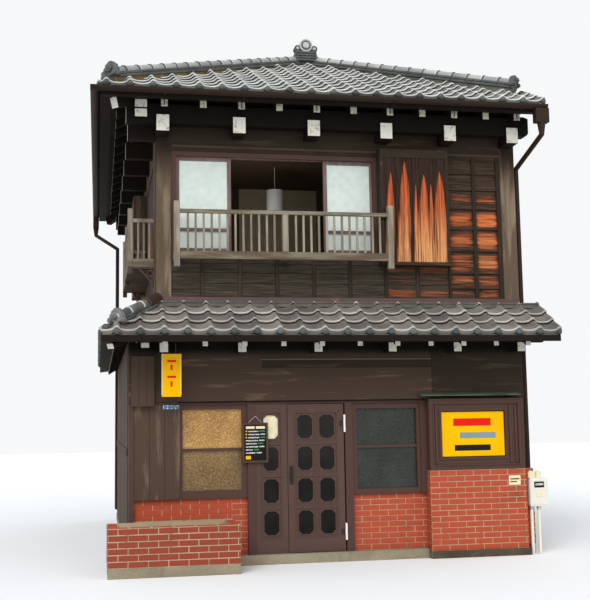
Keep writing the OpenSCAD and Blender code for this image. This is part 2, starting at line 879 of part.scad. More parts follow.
ridge_w = 210;
ridge_courses = 175;
ridge_cap_r = 75;
hip_courses_up = 95;
// How far the left and the right hips' feet stand above the tiles, on a wedge of clay
hip_lift = [40, 85];
hip_reach = 0.945;
hip_trim_in = 73;

module ridges() color("#5f635c") {
    apex = [mid_x, ridge_y0, apex_z];
    far = [mid_x, ridge_y1, apex_z];
    difference() {
        union() {
            along_line(apex, far) ridge_profile(ridge_w, ridge_courses, ridge_cap_r);
            for (end = [apex, far], side = [-1, 1]) {
                away = (end == apex) ? -1 : 1;
                reach = (side < 0) ? roof_run * hip_reach : trim_x - mid_x - hip_trim_in;
                lift = (side < 0) ? hip_lift[0] : hip_lift[1];
                foot = end + [side * reach, away * reach, -reach * pitch + lift];
                along_line(end, foot) ridge_profile(hip_w + 20, hip_courses_up, hip_cap_r + 6, lift);
                ridge_end(foot + [0, 0, hip_courses_up + 20], atan2(away, side), 110);
            }
            for (end = [apex - [0, 60, 0], far + [0, 60, 0]])
                ridge_end(end + [0, 0, ridge_courses + 40], 90, 150);
        }
        roof_front();
        roof_back();
        roof_left();
        roof_right();
    }
}

// Rainwater goods

gutter_r = 55;
gutter_t = 6;
gutter_z = 5480;
pipe_r = 31;
// Width along the gutter, depth across it and height
hopper = [172, 104, 170];
funnel_h = 145;
hopper_drop = gutter_r + hopper[2] + funnel_h;
strap = 30;
// Centre lines of the two downpipes, from the hopper down to the shoe
front_pipe = [[4580, front_y - gutter_r, gutter_z - hopper_drop], [4510, 60, 4830], [4510, 60, 190]];
rear_pipe = [[eave_x - gutter_r, back_y - 90, gutter_z - hopper_drop],
    [-430, depth + 55, 4790], [-430, depth + 55, 190]];

module gutter_profile()
    difference() {
        circle(r = gutter_r, $fn = 32);
        circle(r = gutter_r - gutter_t, $fn = 32);
        translate([-2 * gutter_r, 0]) square([4 * gutter_r, 2 * gutter_r]);
    }

// A pipe of round section from p to q with a ball elbow at p
module pipe(p, q) {
    d = q - p;
    flat = norm([d[0], d[1]]);
    translate(p) sphere(r = pipe_r, $fn = 20);
    translate(p) rotate([0, atan2(flat, d[2]), atan2(d[1], d[0])])
        cylinder(r = pipe_r, h = norm(d), $fn = 20);
}

// Hopper under the gutter, the slanted pipe to the wall and the pipe down it
module downpipe(line, gutter_turn = 0) {
    translate(line[0]) cylinder(r1 = pipe_r, r2 = hopper[1] / 2, h = funnel_h, $fn = 24);
    translate(line[0]) rotate([0, 0, gutter_turn]) translate([-hopper[0] / 2, -hopper[1] / 2, funnel_h])
        cube([hopper[0], hopper[1], hopper[2] + gutter_t]);
    pipe(line[0], line[1]);
    pipe(line[1], line[2]);
    translate(line[2]) sphere(r = pipe_r, $fn = 20);
}

module gutters() color("#5b4238") {
    y = front_y - gutter_r;
    x = eave_x - gutter_r;
    union() {
        along_x(x - gutter_r, trim_x) translate([y, gutter_z]) gutter_profile();
        along_y(y - gutter_r, back_y) translate([x, gutter_z]) gutter_profile();
        downpipe(front_pipe);
        downpipe(rear_pipe, 90);
        for (z = [1500, 2300, 3600, 4600])
            block(right_x, front_pipe[2][0], front_pipe[2][1] - strap / 2,
                front_pipe[2][1] + strap / 2, z, z + strap);
        for (z = [600, 1500, 2300])
            block(shop_x, rear_pipe[2][0] + pipe_r - 5, depth, rear_pipe[2][1] + 10, z, z + strap);
    }
}

// Fittings

light_box_x = [-40, 177];
light_box_y = [-268, -178];
light_box_z = [1955, 2446];
hanger_x = [30, 110];
hanger_y = -230;
hanger_sq = 14;

module light_box() color("#f7c51b")
    union() {
        block(light_box_x[0], light_box_x[1], light_box_y[0], light_box_y[1], light_box_z[0], light_box_z[1]);
        for (x = hanger_x)
            block(x, x + hanger_sq, hanger_y, hanger_y + hanger_sq, light_box_z[1], arm_high);
    }

menu_x = [921, 1211];
menu_z = [1186, 1635];
menu_t = 22;

module menu_board() color("#2a2422")
    block(menu_x[0], menu_x[1], -menu_t, 0, menu_z[0], menu_z[1]);

inner_y = 2600;

module inner_wall() color("#b9ae95")
    block(left_x + wall_t, right_x - wall_t, inner_y, inner_y + 80, floor_z, ceiling_z);

ceiling_t = 30;

module ceiling() color("#8d8571")
    block(left_x + wall_t, right_x - wall_t, post_w, depth - wall_t, ceiling_z, ceiling_z + ceiling_t);

lamp_at = [1560, 1250, 4455];
lamp_r = 112;
lamp_h = 285;

module pendant_lamp() color("#d9d4c6")
    translate(lamp_at) union() {
        cylinder(r = lamp_r, h = lamp_h, $fn = 40);
        translate([0, 0, lamp_h]) cylinder(r = 5, h = ceiling_z - lamp_at[2] - lamp_h, $fn = 16);
    }

meter_x = [4450, 4680];
meter_y = [-125, -20];
meter_z = [575, 915];
meter_top = 1000;
riser_r = 20;
riser_x = [4474, 4568];
riser_y = -85;
meter_strap_x = [4420, 4500];

// Meter case on two risers, with a strap to the brickwork
module gas_meter() color("#c9c6ba")
    union() {
        block(meter_x[0], meter_x[1], meter_y[0], meter_y[1], meter_z[0], meter_z[1]);
        block(meter_strap_x[0], meter_strap_x[1], meter_y[1], 0, meter_z[1] - 60, meter_z[1] - 20);
        for (x = riser_x) {
            translate([x, riser_y, 0]) cylinder(r = riser_r, h = meter_z[0], $fn = 20);
            translate([x, riser_y, meter_z[1]])
                cylinder(r = riser_r * 1.3, h = meter_top - meter_z[1], $fn = 20);
        }
    }

foundation();
brick_dado();
bay_plinth();
planter();
planter_soil();
ground_posts();
front_boards();
front_band();
ground_left_wall();
ground_right_wall();
ground_back_wall();
window_1_frame();
window_1_glass();
window_2_frame();
window_2_glass();
side_leaf();
side_leaf_glass();
door_leaf();
door_glass();
door_hardware();
hinge_pins();
bay_frame();
bay_panel();
bay_canopy();
skirt_roof_front();
skirt_roof_left();
skirt_hip();
skirt_flashing();
upper_floor();
upper_posts();
front_low_wall();
clapboard_wall();
frieze();
upper_left_wall();
side_shutters();
upper_right_wall();
upper_back_wall();
sashes();
sash_glass();
shutter_box();
balcony();
side_balcony();
eave_arms();
purlins();
rafters();
roof_front();
roof_left();
roof_right();
roof_back();
ridges();
gutters();
light_box();
menu_board();
inner_wall();
ceiling();
pendant_lamp();
gas_meter();
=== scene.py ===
# %% [markdown]
# The corner townhouse, dressed
# The solids of this house come from its construction model: walls, roofs, eaves, doors, balconies.
# What the eye reads as an old timber shop is laid over them here: some nine hundred clay tiles,
# brickwork, boards, white painted beam ends, mouldings and weathered finishes.
# Everything is in metres, X to the right, Y into the house, Z up, with the ground at zero.

# %% Load the solids
import math
import random

import bmesh
import bpy
from mathutils import Matrix, Vector


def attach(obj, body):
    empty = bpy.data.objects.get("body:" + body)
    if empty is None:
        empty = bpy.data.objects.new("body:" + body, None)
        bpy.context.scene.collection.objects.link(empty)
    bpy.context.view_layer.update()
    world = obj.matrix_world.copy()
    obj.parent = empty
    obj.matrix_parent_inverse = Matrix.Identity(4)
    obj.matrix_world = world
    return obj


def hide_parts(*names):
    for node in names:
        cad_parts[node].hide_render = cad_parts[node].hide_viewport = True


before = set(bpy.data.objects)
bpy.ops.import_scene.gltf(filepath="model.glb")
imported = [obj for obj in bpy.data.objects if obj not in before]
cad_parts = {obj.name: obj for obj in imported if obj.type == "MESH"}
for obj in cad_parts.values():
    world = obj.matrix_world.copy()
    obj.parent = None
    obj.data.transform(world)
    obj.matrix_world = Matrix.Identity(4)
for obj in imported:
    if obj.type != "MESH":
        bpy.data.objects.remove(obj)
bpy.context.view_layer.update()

# %% [markdown]
# The camera stands across the street a little left of the house and looks slightly up and right.
# Its place and turn were worked out from the regular spacing of the beam ends and posts, so the
# three angles below are all it needs. A lens of 62 mm on a 36 mm sensor keeps the verticals calm.

# %% Camera
UP = Vector((0, 0, 1))


def show(name, data):
    """A new object with this data, put into the scene."""
    thing = bpy.data.objects.new(name, data)
    bpy.context.scene.collection.objects.link(thing)
    return thing


def seat(at, x, y, z):
    """Lays a drawing at a point, with its X, Y and Z along three directions."""
    return Matrix.Translation(at) @ Matrix((x, y, z)).transposed().to_4x4()


eye_at = Vector((-0.7606, -12.2498, 1.6578))
yaw, pitch_up, roll = (math.radians(a) for a in (-10.8, 6.65, 0.91))
camera_turn = (Matrix.Rotation(yaw, 3, "Z") @ Matrix.Rotation(pitch_up, 3, "X")
               @ Matrix.Rotation(roll, 3, "Y"))
eye = bpy.data.cameras.new("street_camera")
eye.lens, eye.sensor_width = 62.2, 36
camera = show("street_camera", eye)
camera.matrix_world = seat(eye_at, *(camera_turn @ Vector(way) for way in ((1, 0, 0), (0, 0, 1), (0, -1, 0))))
bpy.context.scene.camera = camera
bpy.context.scene.view_settings.view_transform = "Standard"
print("camera at", tuple(round(v, 2) for v in eye_at))

# %% [markdown]
# An overcast sky is what shows old timber best: light from everywhere, with one soft side a
# little stronger. The world gives the even part and a wide sun the direction. The camera and
# mirror-like surfaces see a plain pale world, which keeps glass and glazed tiles bright.

# %% Sky, sun and floor
def add_node(tree, kind, inputs=None, **settings):
    """A node with its settings. Each input takes a value or a link from a socket."""
    node = tree.nodes.new(kind)
    for key, value in settings.items():
        setattr(node, key, value)
    for key, value in (inputs or {}).items():
        if isinstance(value, bpy.types.NodeSocket):
            tree.links.new(value, node.inputs[key])
        else:
            node.inputs[key].default_value = value
    return node


def sky_node(kind, *inputs, **settings):
    return add_node(sky, "ShaderNode" + kind, dict(enumerate(inputs)), **settings).outputs


world = bpy.data.worlds.new("overcast")
bpy.context.scene.world = world
world.use_nodes = True
sky = world.node_tree
sky.nodes.clear()
soft, pale = sky_node("Background", (0.90, 0.95, 1.0, 1), 0.85), sky_node("Background", (0.93, 0.94, 0.95, 1), 1.0)
ray = sky_node("LightPath")
through = sky_node("Math", ray["Is Camera Ray"], ray["Is Transmission Ray"], operation="MAXIMUM")
seen = sky_node("Math", through[0], ray["Is Glossy Ray"], operation="MAXIMUM")
sky_node("OutputWorld", sky_node("MixShader", seen[0], soft[0], pale[0])[0])

for title, energy, angle, turn in (("soft_sun", 2.1, 35, (48, 0, -28)), ("street_fill", 0.7, 60, (76, 0, 24))):
    lamp = bpy.data.lights.new(title, "SUN")
    lamp.energy, lamp.angle = energy, math.radians(angle)
    show(title, lamp).rotation_euler = [math.radians(a) for a in turn]

floor_mesh = bpy.data.meshes.new("studio_floor")
floor_mesh.from_pydata([(x, y, -0.002) for x, y in ((-40, -30), (40, -30), (40, 50), (-40, 50))], [], [(0, 1, 2, 3)])
studio_floor = show("studio_floor", floor_mesh)

# %% [markdown]
# Finishes are node trees on Object coordinates: each piece lies in one shared frame, so grain and
# stains run on from board to board at their true size. A short class keeps the trees readable.
# Every repeated thing also carries a number called tone, from -1 to 1, one for each board, brick
# or tile, and the finishes turn that into small changes of colour. Colours are written as a
# painter names them, red, green and blue from 0 to 255.

# %% A kit for finishes
# Every finish by its name, because the solids bring in materials of their own with the same names
looks = {}


def colour(shade):
    """A painter's colour as a shader takes it. A socket stays as it is."""
    if isinstance(shade, bpy.types.NodeSocket):
        return shade
    return tuple((c / 255) ** 2.2 for c in shade) + (1,)


class Finish:
    def __init__(self, name, base, roughness=0.7, metallic=0.0, specular=0.5):
        self.material = looks[name] = bpy.data.materials.new(name)
        self.material.use_nodes = True
        self.tree = self.material.node_tree
        self.tree.nodes.clear()
        self.shader = self.add("BsdfPrincipled", {"Base Color": colour(base), "Roughness": roughness,
                                                  "Metallic": metallic, "Specular IOR Level": specular})
        self.out = self.add("OutputMaterial", {0: self.shader.outputs[0]})

    def add(self, kind, inputs=None, **settings):
        return add_node(self.tree, "ShaderNode" + kind, inputs, **settings)

    def place(self, scale=(1, 1, 1), shift=(0, 0, 0)):
        return self.add("Mapping", {"Vector": self.add("TexCoord").outputs["Object"], "Scale": scale,
                                    "Location": shift}).outputs[0]

    def noise(self, scale, detail=4.0, roughness=0.6, distortion=0.0, shift=(0, 0, 0)):
        """Cloudy noise. A single number as scale is meant for all three ways."""
        scale = scale if isinstance(scale, tuple) else (scale,) * 3
        return self.add("TexNoise", {"Vector": self.place(scale, shift), "Scale": 1.0, "Detail": detail,
                                     "Roughness": roughness, "Distortion": distortion}).outputs[0]

    def number(self, name):
        return self.add("Attribute", attribute_name=name).outputs["Fac"]

    def along(self, axis):
        return self.add("SeparateXYZ", {0: self.place()}).outputs[axis]

    def math(self, operation, a, b):
        return self.add("Math", {0: a, 1: b}, operation=operation).outputs[0]

    def sum(self, *parts):
        """Adds sockets up, each one times its share."""
        total = None
        for socket, share in parts:
            part = self.math("MULTIPLY", socket, share) if share != 1 else socket
            total = self.math("ADD", total, part) if total else part
        return total

    def between(self, value, low, high):
        """0 below low, 1 above high, smooth between them."""
        return self.add("MapRange", {"Value": value, "From Min": low, "From Max": high},
                        interpolation_type="SMOOTHSTEP").outputs[0]

    def blend(self, share, first, second):
        return self.add("Mix", {0: share, 6: colour(first), 7: colour(second)}, data_type="RGBA").outputs[2]

    def paint(self, socket, where="Base Color"):
        self.tree.links.new(socket, self.shader.inputs[where])

    def rough(self, value, low, high):
        self.paint(self.add("MapRange", {"Value": value, "To Min": low, "To Max": high}).outputs[0], "Roughness")

    def bump(self, height, distance):
        self.paint(self.add("Bump", {"Height": height, "Strength": 1.0, "Distance": distance}).outputs[0], "Normal")


def grain_scale(along, across, lengthways):
    return tuple(lengthways if axis == along else across for axis in "XYZ")


def mixed(name, first, second, axis, low, high):
    """One finish below low along an axis and another above high, by copying both recipes side by side."""
    f = Finish(name, (0, 0, 0))
    f.tree.nodes.remove(f.shader)
    shaders = []
    for source in (looks[first].node_tree, looks[second].node_tree):
        copies = {}
        for node in source.nodes:
            if node.type != "OUTPUT_MATERIAL":
                copies[node.name] = add_node(
                    f.tree, node.bl_idname, {k: given.default_value for k, given in enumerate(node.inputs)
                                             if hasattr(given, "default_value") and not given.is_linked},
                    **{key: getattr(node, key) for key in (
                        "operation", "interpolation_type", "data_type", "feature", "attribute_name")
                       if hasattr(node, key)})
        for link in source.links:
            given = copies[link.from_node.name].outputs[list(link.from_node.outputs).index(link.from_socket)]
            if link.to_node.type == "OUTPUT_MATERIAL":
                shaders.append(given)
            else:
                f.tree.links.new(given, copies[link.to_node.name].inputs[
                    list(link.to_node.inputs).index(link.to_socket)])
    mix = f.add("MixShader", {0: f.between(f.along(axis), low, high), 1: shaders[0], 2: shaders[1]})
    f.tree.links.new(mix.outputs[0], f.out.inputs[0])


print("kit ready:", [name for name in vars(Finish) if not name.startswith("_")])

# %% [markdown]
# Wood: one recipe, many boards
# All the timber is old cedar or cypress, stained nearly black or painted brown, and worn back to
# grey or orange where rain and sun reach it. The recipe has four layers: fine grain along the
# board, a tone for each board, slow stains, and worn patches that stretch along the grain.

# %% Timber finishes
def timber(name, dark, light, worn, along="Z", wear=(0.62, 0.78), roughness=(0.6, 0.9), grain_depth=0.0015,
           specular=0.12):
    f = Finish(name, dark, roughness[1], specular=specular)
    grain = f.noise(grain_scale(along, 95, 2.6), 6, 0.65, 0.4)
    stain = f.noise(grain_scale(along, 3.4, 0.7), 3, 0.6)
    toned = f.math("MULTIPLY_ADD", f.number("tone"), 0.22)
    wood = f.blend(f.between(f.sum((grain, 0.75), (stain, 0.55), (toned, 1)), 0.42, 1.0), dark, light)
    patch = f.sum((f.noise(grain_scale(along, 9, 1.1), 5, 0.62, 0.3, (4.1, 2.2, 0.7)), 1), (grain, 0.16))
    f.paint(f.blend(f.between(patch, *wear), wood, worn))
    f.rough(grain, *roughness)
    f.bump(grain, grain_depth)


painted_wear, old, plain_rough = (0.72, 0.92), (0.7, 0.92), (0.6, 0.9)
for row in (
        ("black_boards", (41, 33, 29), (74, 60, 51), (104, 86, 72)),
        ("black_boards_flat", (34, 27, 23), (68, 55, 47), (98, 80, 66), "X"),
        ("black_boards_deep", (36, 29, 25), (66, 53, 46), (96, 78, 64), "Y"),
        ("frieze_boards", (26, 22, 18), (50, 42, 35), (70, 60, 49), "X"),
        # The eave timbers are stained nearly black, and their colours are taken darker still as painted shade under the
        # eaves and the skirt roof.
        ("eave_timber", (18, 15, 13), (34, 28, 24), (48, 40, 34), "Y", (0.72, 0.9), plain_rough, 0.0015, 0.08),
        ("eave_timber_flat", (13, 11, 10), (26, 22, 19), (42, 35, 30), "X", (0.72, 0.9), plain_rough, 0.0015, 0.08),
        ("batten_wood", (22, 18, 15), (46, 38, 32), (66, 55, 46)),
        ("old_plank", (62, 50, 42), (98, 82, 68), (124, 106, 90), "X"),
        ("brown_paint", (47, 33, 29), (74, 54, 48), (96, 74, 66), "Z", painted_wear, (0.5, 0.7), 0.0006, 0.15),
        ("door_paint", (50, 36, 32), (78, 58, 52), (106, 82, 73), "Z", painted_wear, (0.42, 0.62), 0.0006, 0.2),
        ("post_wood", (38, 31, 26), (88, 75, 61), (118, 104, 87), "Z", (0.56, 0.74), old, 0.005),
        ("shaded_post", (20, 16, 14), (46, 38, 32), (86, 58, 42), "Z", (0.62, 0.8), old, 0.005),
        ("rail_wood", (50, 43, 35), (96, 87, 72), (126, 118, 102), "X", (0.50, 0.68), old, 0.002),
        ("low_rail_wood", (44, 36, 29), (88, 76, 62), (118, 107, 91), "X", (0.50, 0.68), old, 0.002),
        ("baluster_wood", (66, 58, 49), (112, 102, 88), (142, 133, 117), "Z", (0.5, 0.7), old, 0.001),
        ("sash_wood", (68, 55, 52), (106, 89, 85), (124, 108, 102), "Z", (0.56, 0.74), old, 0.001),
        ("room_wood", (48, 37, 30), (84, 67, 55), (98, 80, 66), "Z", (0.8, 0.95))):
    timber(*row)
# The band over the shop darkens upwards, into the shade of the skirt roof
for name, wood in (("band_boards", "black_boards_flat"), ("band_boards_right", "frieze_boards")):
    mixed(name, wood, "eave_timber_flat", "Z", 2.40, 2.53)
print("timbers:", list(looks))

# %% [markdown]
# Wood that has lost its stain
# The clapboards at the right and the shutter box have bare orange streaks. The boards there carry
# a second number, bareness, which ragged noise breaks up before the step that separates stain
# from bare wood. The side shutters use a simpler form: their worn share grows downwards.

# %% Clapboard and shutter finishes
def bare_streaks(name, low, high):
    f = Finish(name, (40, 28, 22), 0.8, specular=0.3)
    fall = f.add("MapRange", {"Value": f.along("Z"), "From Min": low, "From Max": high, "To Min": 1.0,
                              "To Max": 0.0}).outputs[0]
    flame = f.noise((13, 13, 1.0), 4, 0.62, 0.6, (0.3, 0, 0.4))
    fine = f.noise(grain_scale("Z", 120, 3.0), 6, 0.66)
    lifted = f.sum((fall, 0.42), (flame, 1), (fine, 0.18), (f.number("tone"), 0.06))
    deep = f.blend(f.between(lifted, 0.9, 1.15), (112, 62, 34), (196, 122, 72))
    orange = f.blend(f.between(fine, 0.35, 0.7), deep, (150, 84, 46))
    f.paint(f.blend(f.between(lifted, 0.82, 0.94), f.blend(fine, (30, 22, 18), (70, 46, 34)), orange))
    f.bump(fine, 0.0015)


def bare_wood(name, along, dark, light, foot, tip, low, high):
    """Stained wood that has lost its stain where the boards' own number, bareness, is high."""
    f = Finish(name, dark, 0.85, specular=0.12)
    fine = f.noise(grain_scale(along, 110, 3.0), 6, 0.66, 0.3)
    ragged = f.noise(grain_scale(along, 24, 1.2), 4, 0.62, 0.4, (5, 1, 3))
    streak = f.noise(grain_scale(along, 46, 0.9), 4, 0.62, 0.2, (2, 7, 1))
    share = f.math("ADD", f.number("bareness"), f.math("SUBTRACT", f.sum((fine, 0.9), (ragged, 1.5)), 0.6))
    fresh = f.blend(f.between(f.along("Z"), low, high), foot, tip)
    fresh = f.blend(f.between(share, 1.0, 1.5), (104, 54, 34), fresh)
    fresh = f.blend(f.between(fine, 0.46, 0.70), fresh, (112, 62, 40))
    fresh = f.blend(f.math("MULTIPLY", f.between(streak, 0.48, 0.64), 0.8), fresh, (92, 50, 33))
    f.paint(f.blend(f.between(share, 0.94, 1.14), f.blend(f.between(fine, 0.3, 0.7), dark, light), fresh))
    f.bump(fine, 0.002)


bare_streaks("shutter_bare", 3.55, 4.95)
bare_wood("flame_boards", "Z", (32, 24, 20), (62, 46, 39), (198, 142, 92), (178, 84, 48), 3.55, 4.50)
bare_wood("warm_laps", "X", (32, 26, 21), (78, 62, 51), (180, 118, 78), (196, 106, 58), 3.2, 4.3)
bare_wood("low_laps", "X", (34, 30, 26), (74, 67, 58), (150, 98, 66), (150, 98, 66), 3.2, 4.3)
print("materials so far:", len(looks))

# %% [markdown]
# Clay, brick, mortar and concrete
# The upper tiles are smoked and silvery and catch the sky, so they get a low, uneven roughness.
# The skirt tiles are older and matt. On both kinds a pale strip on each nose is a painted highlight.
# Bricks vary a good deal one by one, which the tone number does, and mortar and concrete are sandy with damp stains.

# %% Mineral finishes
def tile_clay(name, dark, light, roughness, lichen, specular):
    f = Finish(name, dark, roughness[1], specular=specular)
    cloud, speck = f.noise(5, 5, 0.6), f.noise(70, 3, 0.6)
    share = f.sum((cloud, 0.8), (f.number("tone"), 0.2), (speck, 0.3))
    body = f.blend(f.between(share, 0.3, 0.95), dark, light)
    f.paint(f.blend(f.between(f.noise(2.3, 6, 0.7, 0.5, (3, 1, 2)), 0.6, 0.78), body, lichen))
    f.rough(cloud, *roughness)
    f.bump(speck, 0.0008)


def brick_clay(name, dark, light):
    f = Finish(name, light, 0.85, specular=0.25)
    cloud, speck = f.noise(14, 5, 0.65), f.noise(160, 3, 0.7)
    share = f.sum((f.math("MULTIPLY_ADD", f.number("tone"), 0.34), 1), (cloud, 0.9))
    damp = f.between(f.noise((1.2, 1.2, 2.2), 4, 0.6, 0.2, (7, 3, 1)), 0.56, 0.75)
    f.paint(f.blend(f.math("MULTIPLY", damp, 0.5), f.blend(f.between(share, 0.1, 0.9), dark, light), (82, 40, 34)))
    f.bump(f.sum((cloud, 1), (speck, 0.5)), 0.003)


def sandy(name, dark, light, stain, size, relief=0.002):
    f = Finish(name, dark, 0.92, specular=0.2)
    sand, cloud = f.noise(size, 6, 0.75), f.noise((2.2, 2.2, 3.1), 5, 0.6, 0.3)
    body = f.blend(f.between(f.sum((sand, 0.5), (cloud, 0.6)), 0.3, 0.8), dark, light)
    f.paint(f.blend(f.between(f.noise((7, 7, 0.9), 4, 0.6, 0.2, (1, 9, 2)), 0.58, 0.8), body, stain))
    f.bump(f.math("ADD", sand, cloud), relief)


for row in (("silver_tile", (72, 73, 70), (124, 124, 118), (0.35, 0.6), (118, 118, 108), 0.5),
            ("silver_lip", (188, 188, 182), (220, 219, 213), (0.4, 0.6), (180, 178, 168), 0.5),
            ("skirt_tile", (86, 80, 76), (130, 123, 116), (0.5, 0.78), (134, 129, 118), 0.3),
            ("skirt_lip", (144, 142, 135), (184, 181, 172), (0.5, 0.78), (156, 152, 142), 0.3),
            ("tile_shadow", (30, 30, 29), (48, 47, 45), (0.8, 0.95), (42, 41, 38), 0.1),
            ("ridge_tile", (150, 150, 145), (198, 197, 191), (0.45, 0.7), (164, 162, 150), 0.4),
            ("course_tile", (56, 60, 60), (94, 97, 94), (0.45, 0.7), (112, 113, 104), 0.4),
            ("old_cap", (84, 86, 84), (132, 132, 126), (0.5, 0.75), (120, 112, 92), 0.25),
            ("hip_clay", (74, 74, 68), (112, 110, 98), (0.8, 0.95), (94, 92, 74), 0.2),
            ("bed_clay", (96, 78, 50), (146, 122, 82), (0.8, 0.95), (90, 84, 66), 0.2)):
    tile_clay(*row)
brick_clay("brick", (80, 32, 24), (160, 70, 48))
brick_clay("mossy_brick", (58, 26, 20), (132, 60, 44))
for row in (("mortar", (150, 128, 100), (182, 160, 130), (110, 90, 70), 90),
            ("concrete", (112, 103, 84), (150, 140, 118), (78, 70, 56), 60, 0.004),
            ("earth", (44, 33, 25), (78, 60, 44), (34, 28, 22), 45, 0.02),
            ("plaster", (150, 136, 108), (184, 170, 138), (128, 112, 88), 40),
            ("dark_joint", (54, 56, 54), (84, 86, 80), (48, 48, 44), 60),
            ("white_joint", (190, 188, 176), (214, 210, 198), (150, 146, 130), 60),
            ("wet_ledge", (52, 46, 38), (92, 82, 66), (34, 34, 26), 60)):
    sandy(*row)
print("materials so far:", len(looks))

# %% [markdown]
# Paint, sheet metal, lit plastic and glass
# The beam ends are whitewashed, a chalky paint with grime in it. The gutters are brown sheet, the
# canopy green copper, the signs a yellow plastic lit from within. Glass is frosted upstairs,
# amber and knobbly in the first shop window, dark and knobbly in the second.

# %% Painted, metal and glass finishes
def coated(name, base, worn, roughness, size=9.0, share=(0.6, 0.8), specular=0.5, metallic=0.0):
    f = Finish(name, base, roughness, metallic, specular)
    f.paint(f.blend(f.between(f.noise(size, 5, 0.65, 0.2), *share), base, worn))
    f.bump(f.noise(size * 9, 3, 0.6), 0.0006)


def pane(name, dark, light, cell, relief, roughness, cover=1.0, gloss=0.35):
    f = Finish(name, dark, roughness, specular=gloss)
    cells = f.add("TexVoronoi", {"Vector": f.place((cell,) * 3), "Scale": 1.0}, feature="SMOOTH_F1").outputs["Distance"]
    cloud = f.noise((3, 3, 2), 4, 0.55)
    f.paint(f.blend(f.between(f.sum((cells, 0.55), (cloud, 0.5)), 0.2, 0.8), dark, light))
    f.shader.inputs["Alpha"].default_value = cover
    f.bump(cells, relief)


some = (0.6, 0.8)
for row in (("white_paint", (208, 203, 190), (126, 117, 104), 0.85, 22, (0.52, 0.74), 0.2),
            ("shaded_white", (172, 168, 150), (96, 88, 76), 0.9, 22, (0.48, 0.72), 0.1),
            ("hinge_paint", (224, 220, 212), (160, 150, 140), 0.5, 30),
            ("gutter_sheet", (50, 40, 34), (34, 28, 24), 0.65, 9, some, 0.08),
            ("canopy_sheet", (74, 84, 72), (54, 58, 50), 0.6, 7, (0.45, 0.7), 0.2),
            ("flashing_sheet", (74, 52, 46), (116, 74, 58), 0.55, 4, some, 0.3),
            ("steel", (176, 172, 164), (120, 114, 106), 0.3, 30, some, 0.5, 0.9),
            ("iron", (44, 40, 38), (92, 64, 48), 0.6, 24, some, 0.5, 0.5),
            ("meter_paint", (206, 202, 188), (160, 152, 134), 0.5),
            ("cream_plate", (214, 200, 158), (176, 158, 116), 0.5, 26),
            ("blue_plate", (70, 104, 134), (176, 196, 206), 0.4, 40, (0.5, 0.6), 0.2),
            ("slate", (20, 21, 20), (42, 42, 40), 0.7, 14, some, 0.15),
            ("chalk", (206, 208, 202), (120, 122, 118), 0.9, 90, (0.42, 0.6)),
            ("sign_red", (206, 26, 14), (178, 24, 14), 0.5, 9, some, 0.12),
            ("sign_grey", (116, 134, 140), (142, 156, 160), 0.5, 9, some, 0.12),
            ("sign_black", (30, 22, 17), (54, 38, 28), 0.5, 9, some, 0.12),
            ("board_green", (40, 122, 74), (30, 96, 60), 0.8, 50),
            ("shade_paper", (190, 188, 180), (168, 166, 158), 0.9, 60)):
    coated(*row)
for row in (("amber_pane", (120, 84, 40), (192, 148, 84), 60, 0.004, 0.28),
            ("amber_low", (72, 54, 30), (138, 108, 64), 60, 0.004, 0.28),
            ("dark_pane", (22, 25, 22), (56, 60, 54), 75, 0.004, 0.22, 1.0, 0.25),
            # The door's glass is clear: drawn opaque and near black, it is painted shade of the dark shop behind it.
            ("door_pane", (6, 6, 5), (26, 24, 20), 8, 0.0006, 0.10, 1.0, 0.16),
            ("cream_pane", (204, 194, 154), (224, 216, 180), 12, 0.0006, 0.3),
            ("frosted_pane", (192, 202, 195), (207, 215, 207), 14, 0.0004, 0.16, 0.93)):
    pane(*row)
lit = Finish("yellow_panel", (222, 170, 2), 0.5, specular=0.05)
glow = lit.blend(lit.noise(3, 3, 0.5), (222, 174, 1), (212, 152, 0))
lit.paint(glow)
lit.paint(glow, "Emission Color")
lit.shader.inputs["Emission Strength"].default_value = 0.06
print("materials so far:", len(looks))

# %% [markdown]
# One tree of geometry nodes for everything that repeats
# Tiles, bricks, boards, beam ends, cap tiles, balusters and mouldings are all the same idea: a
# small mesh set out in columns and rows. So one tree lays a template on a slanted grid, shifts every
# other row for bonded work, turns it, moves each copy a little, and gives each its tone number.
# The copies are made real in the tree, because a finished part holds only plain meshes.

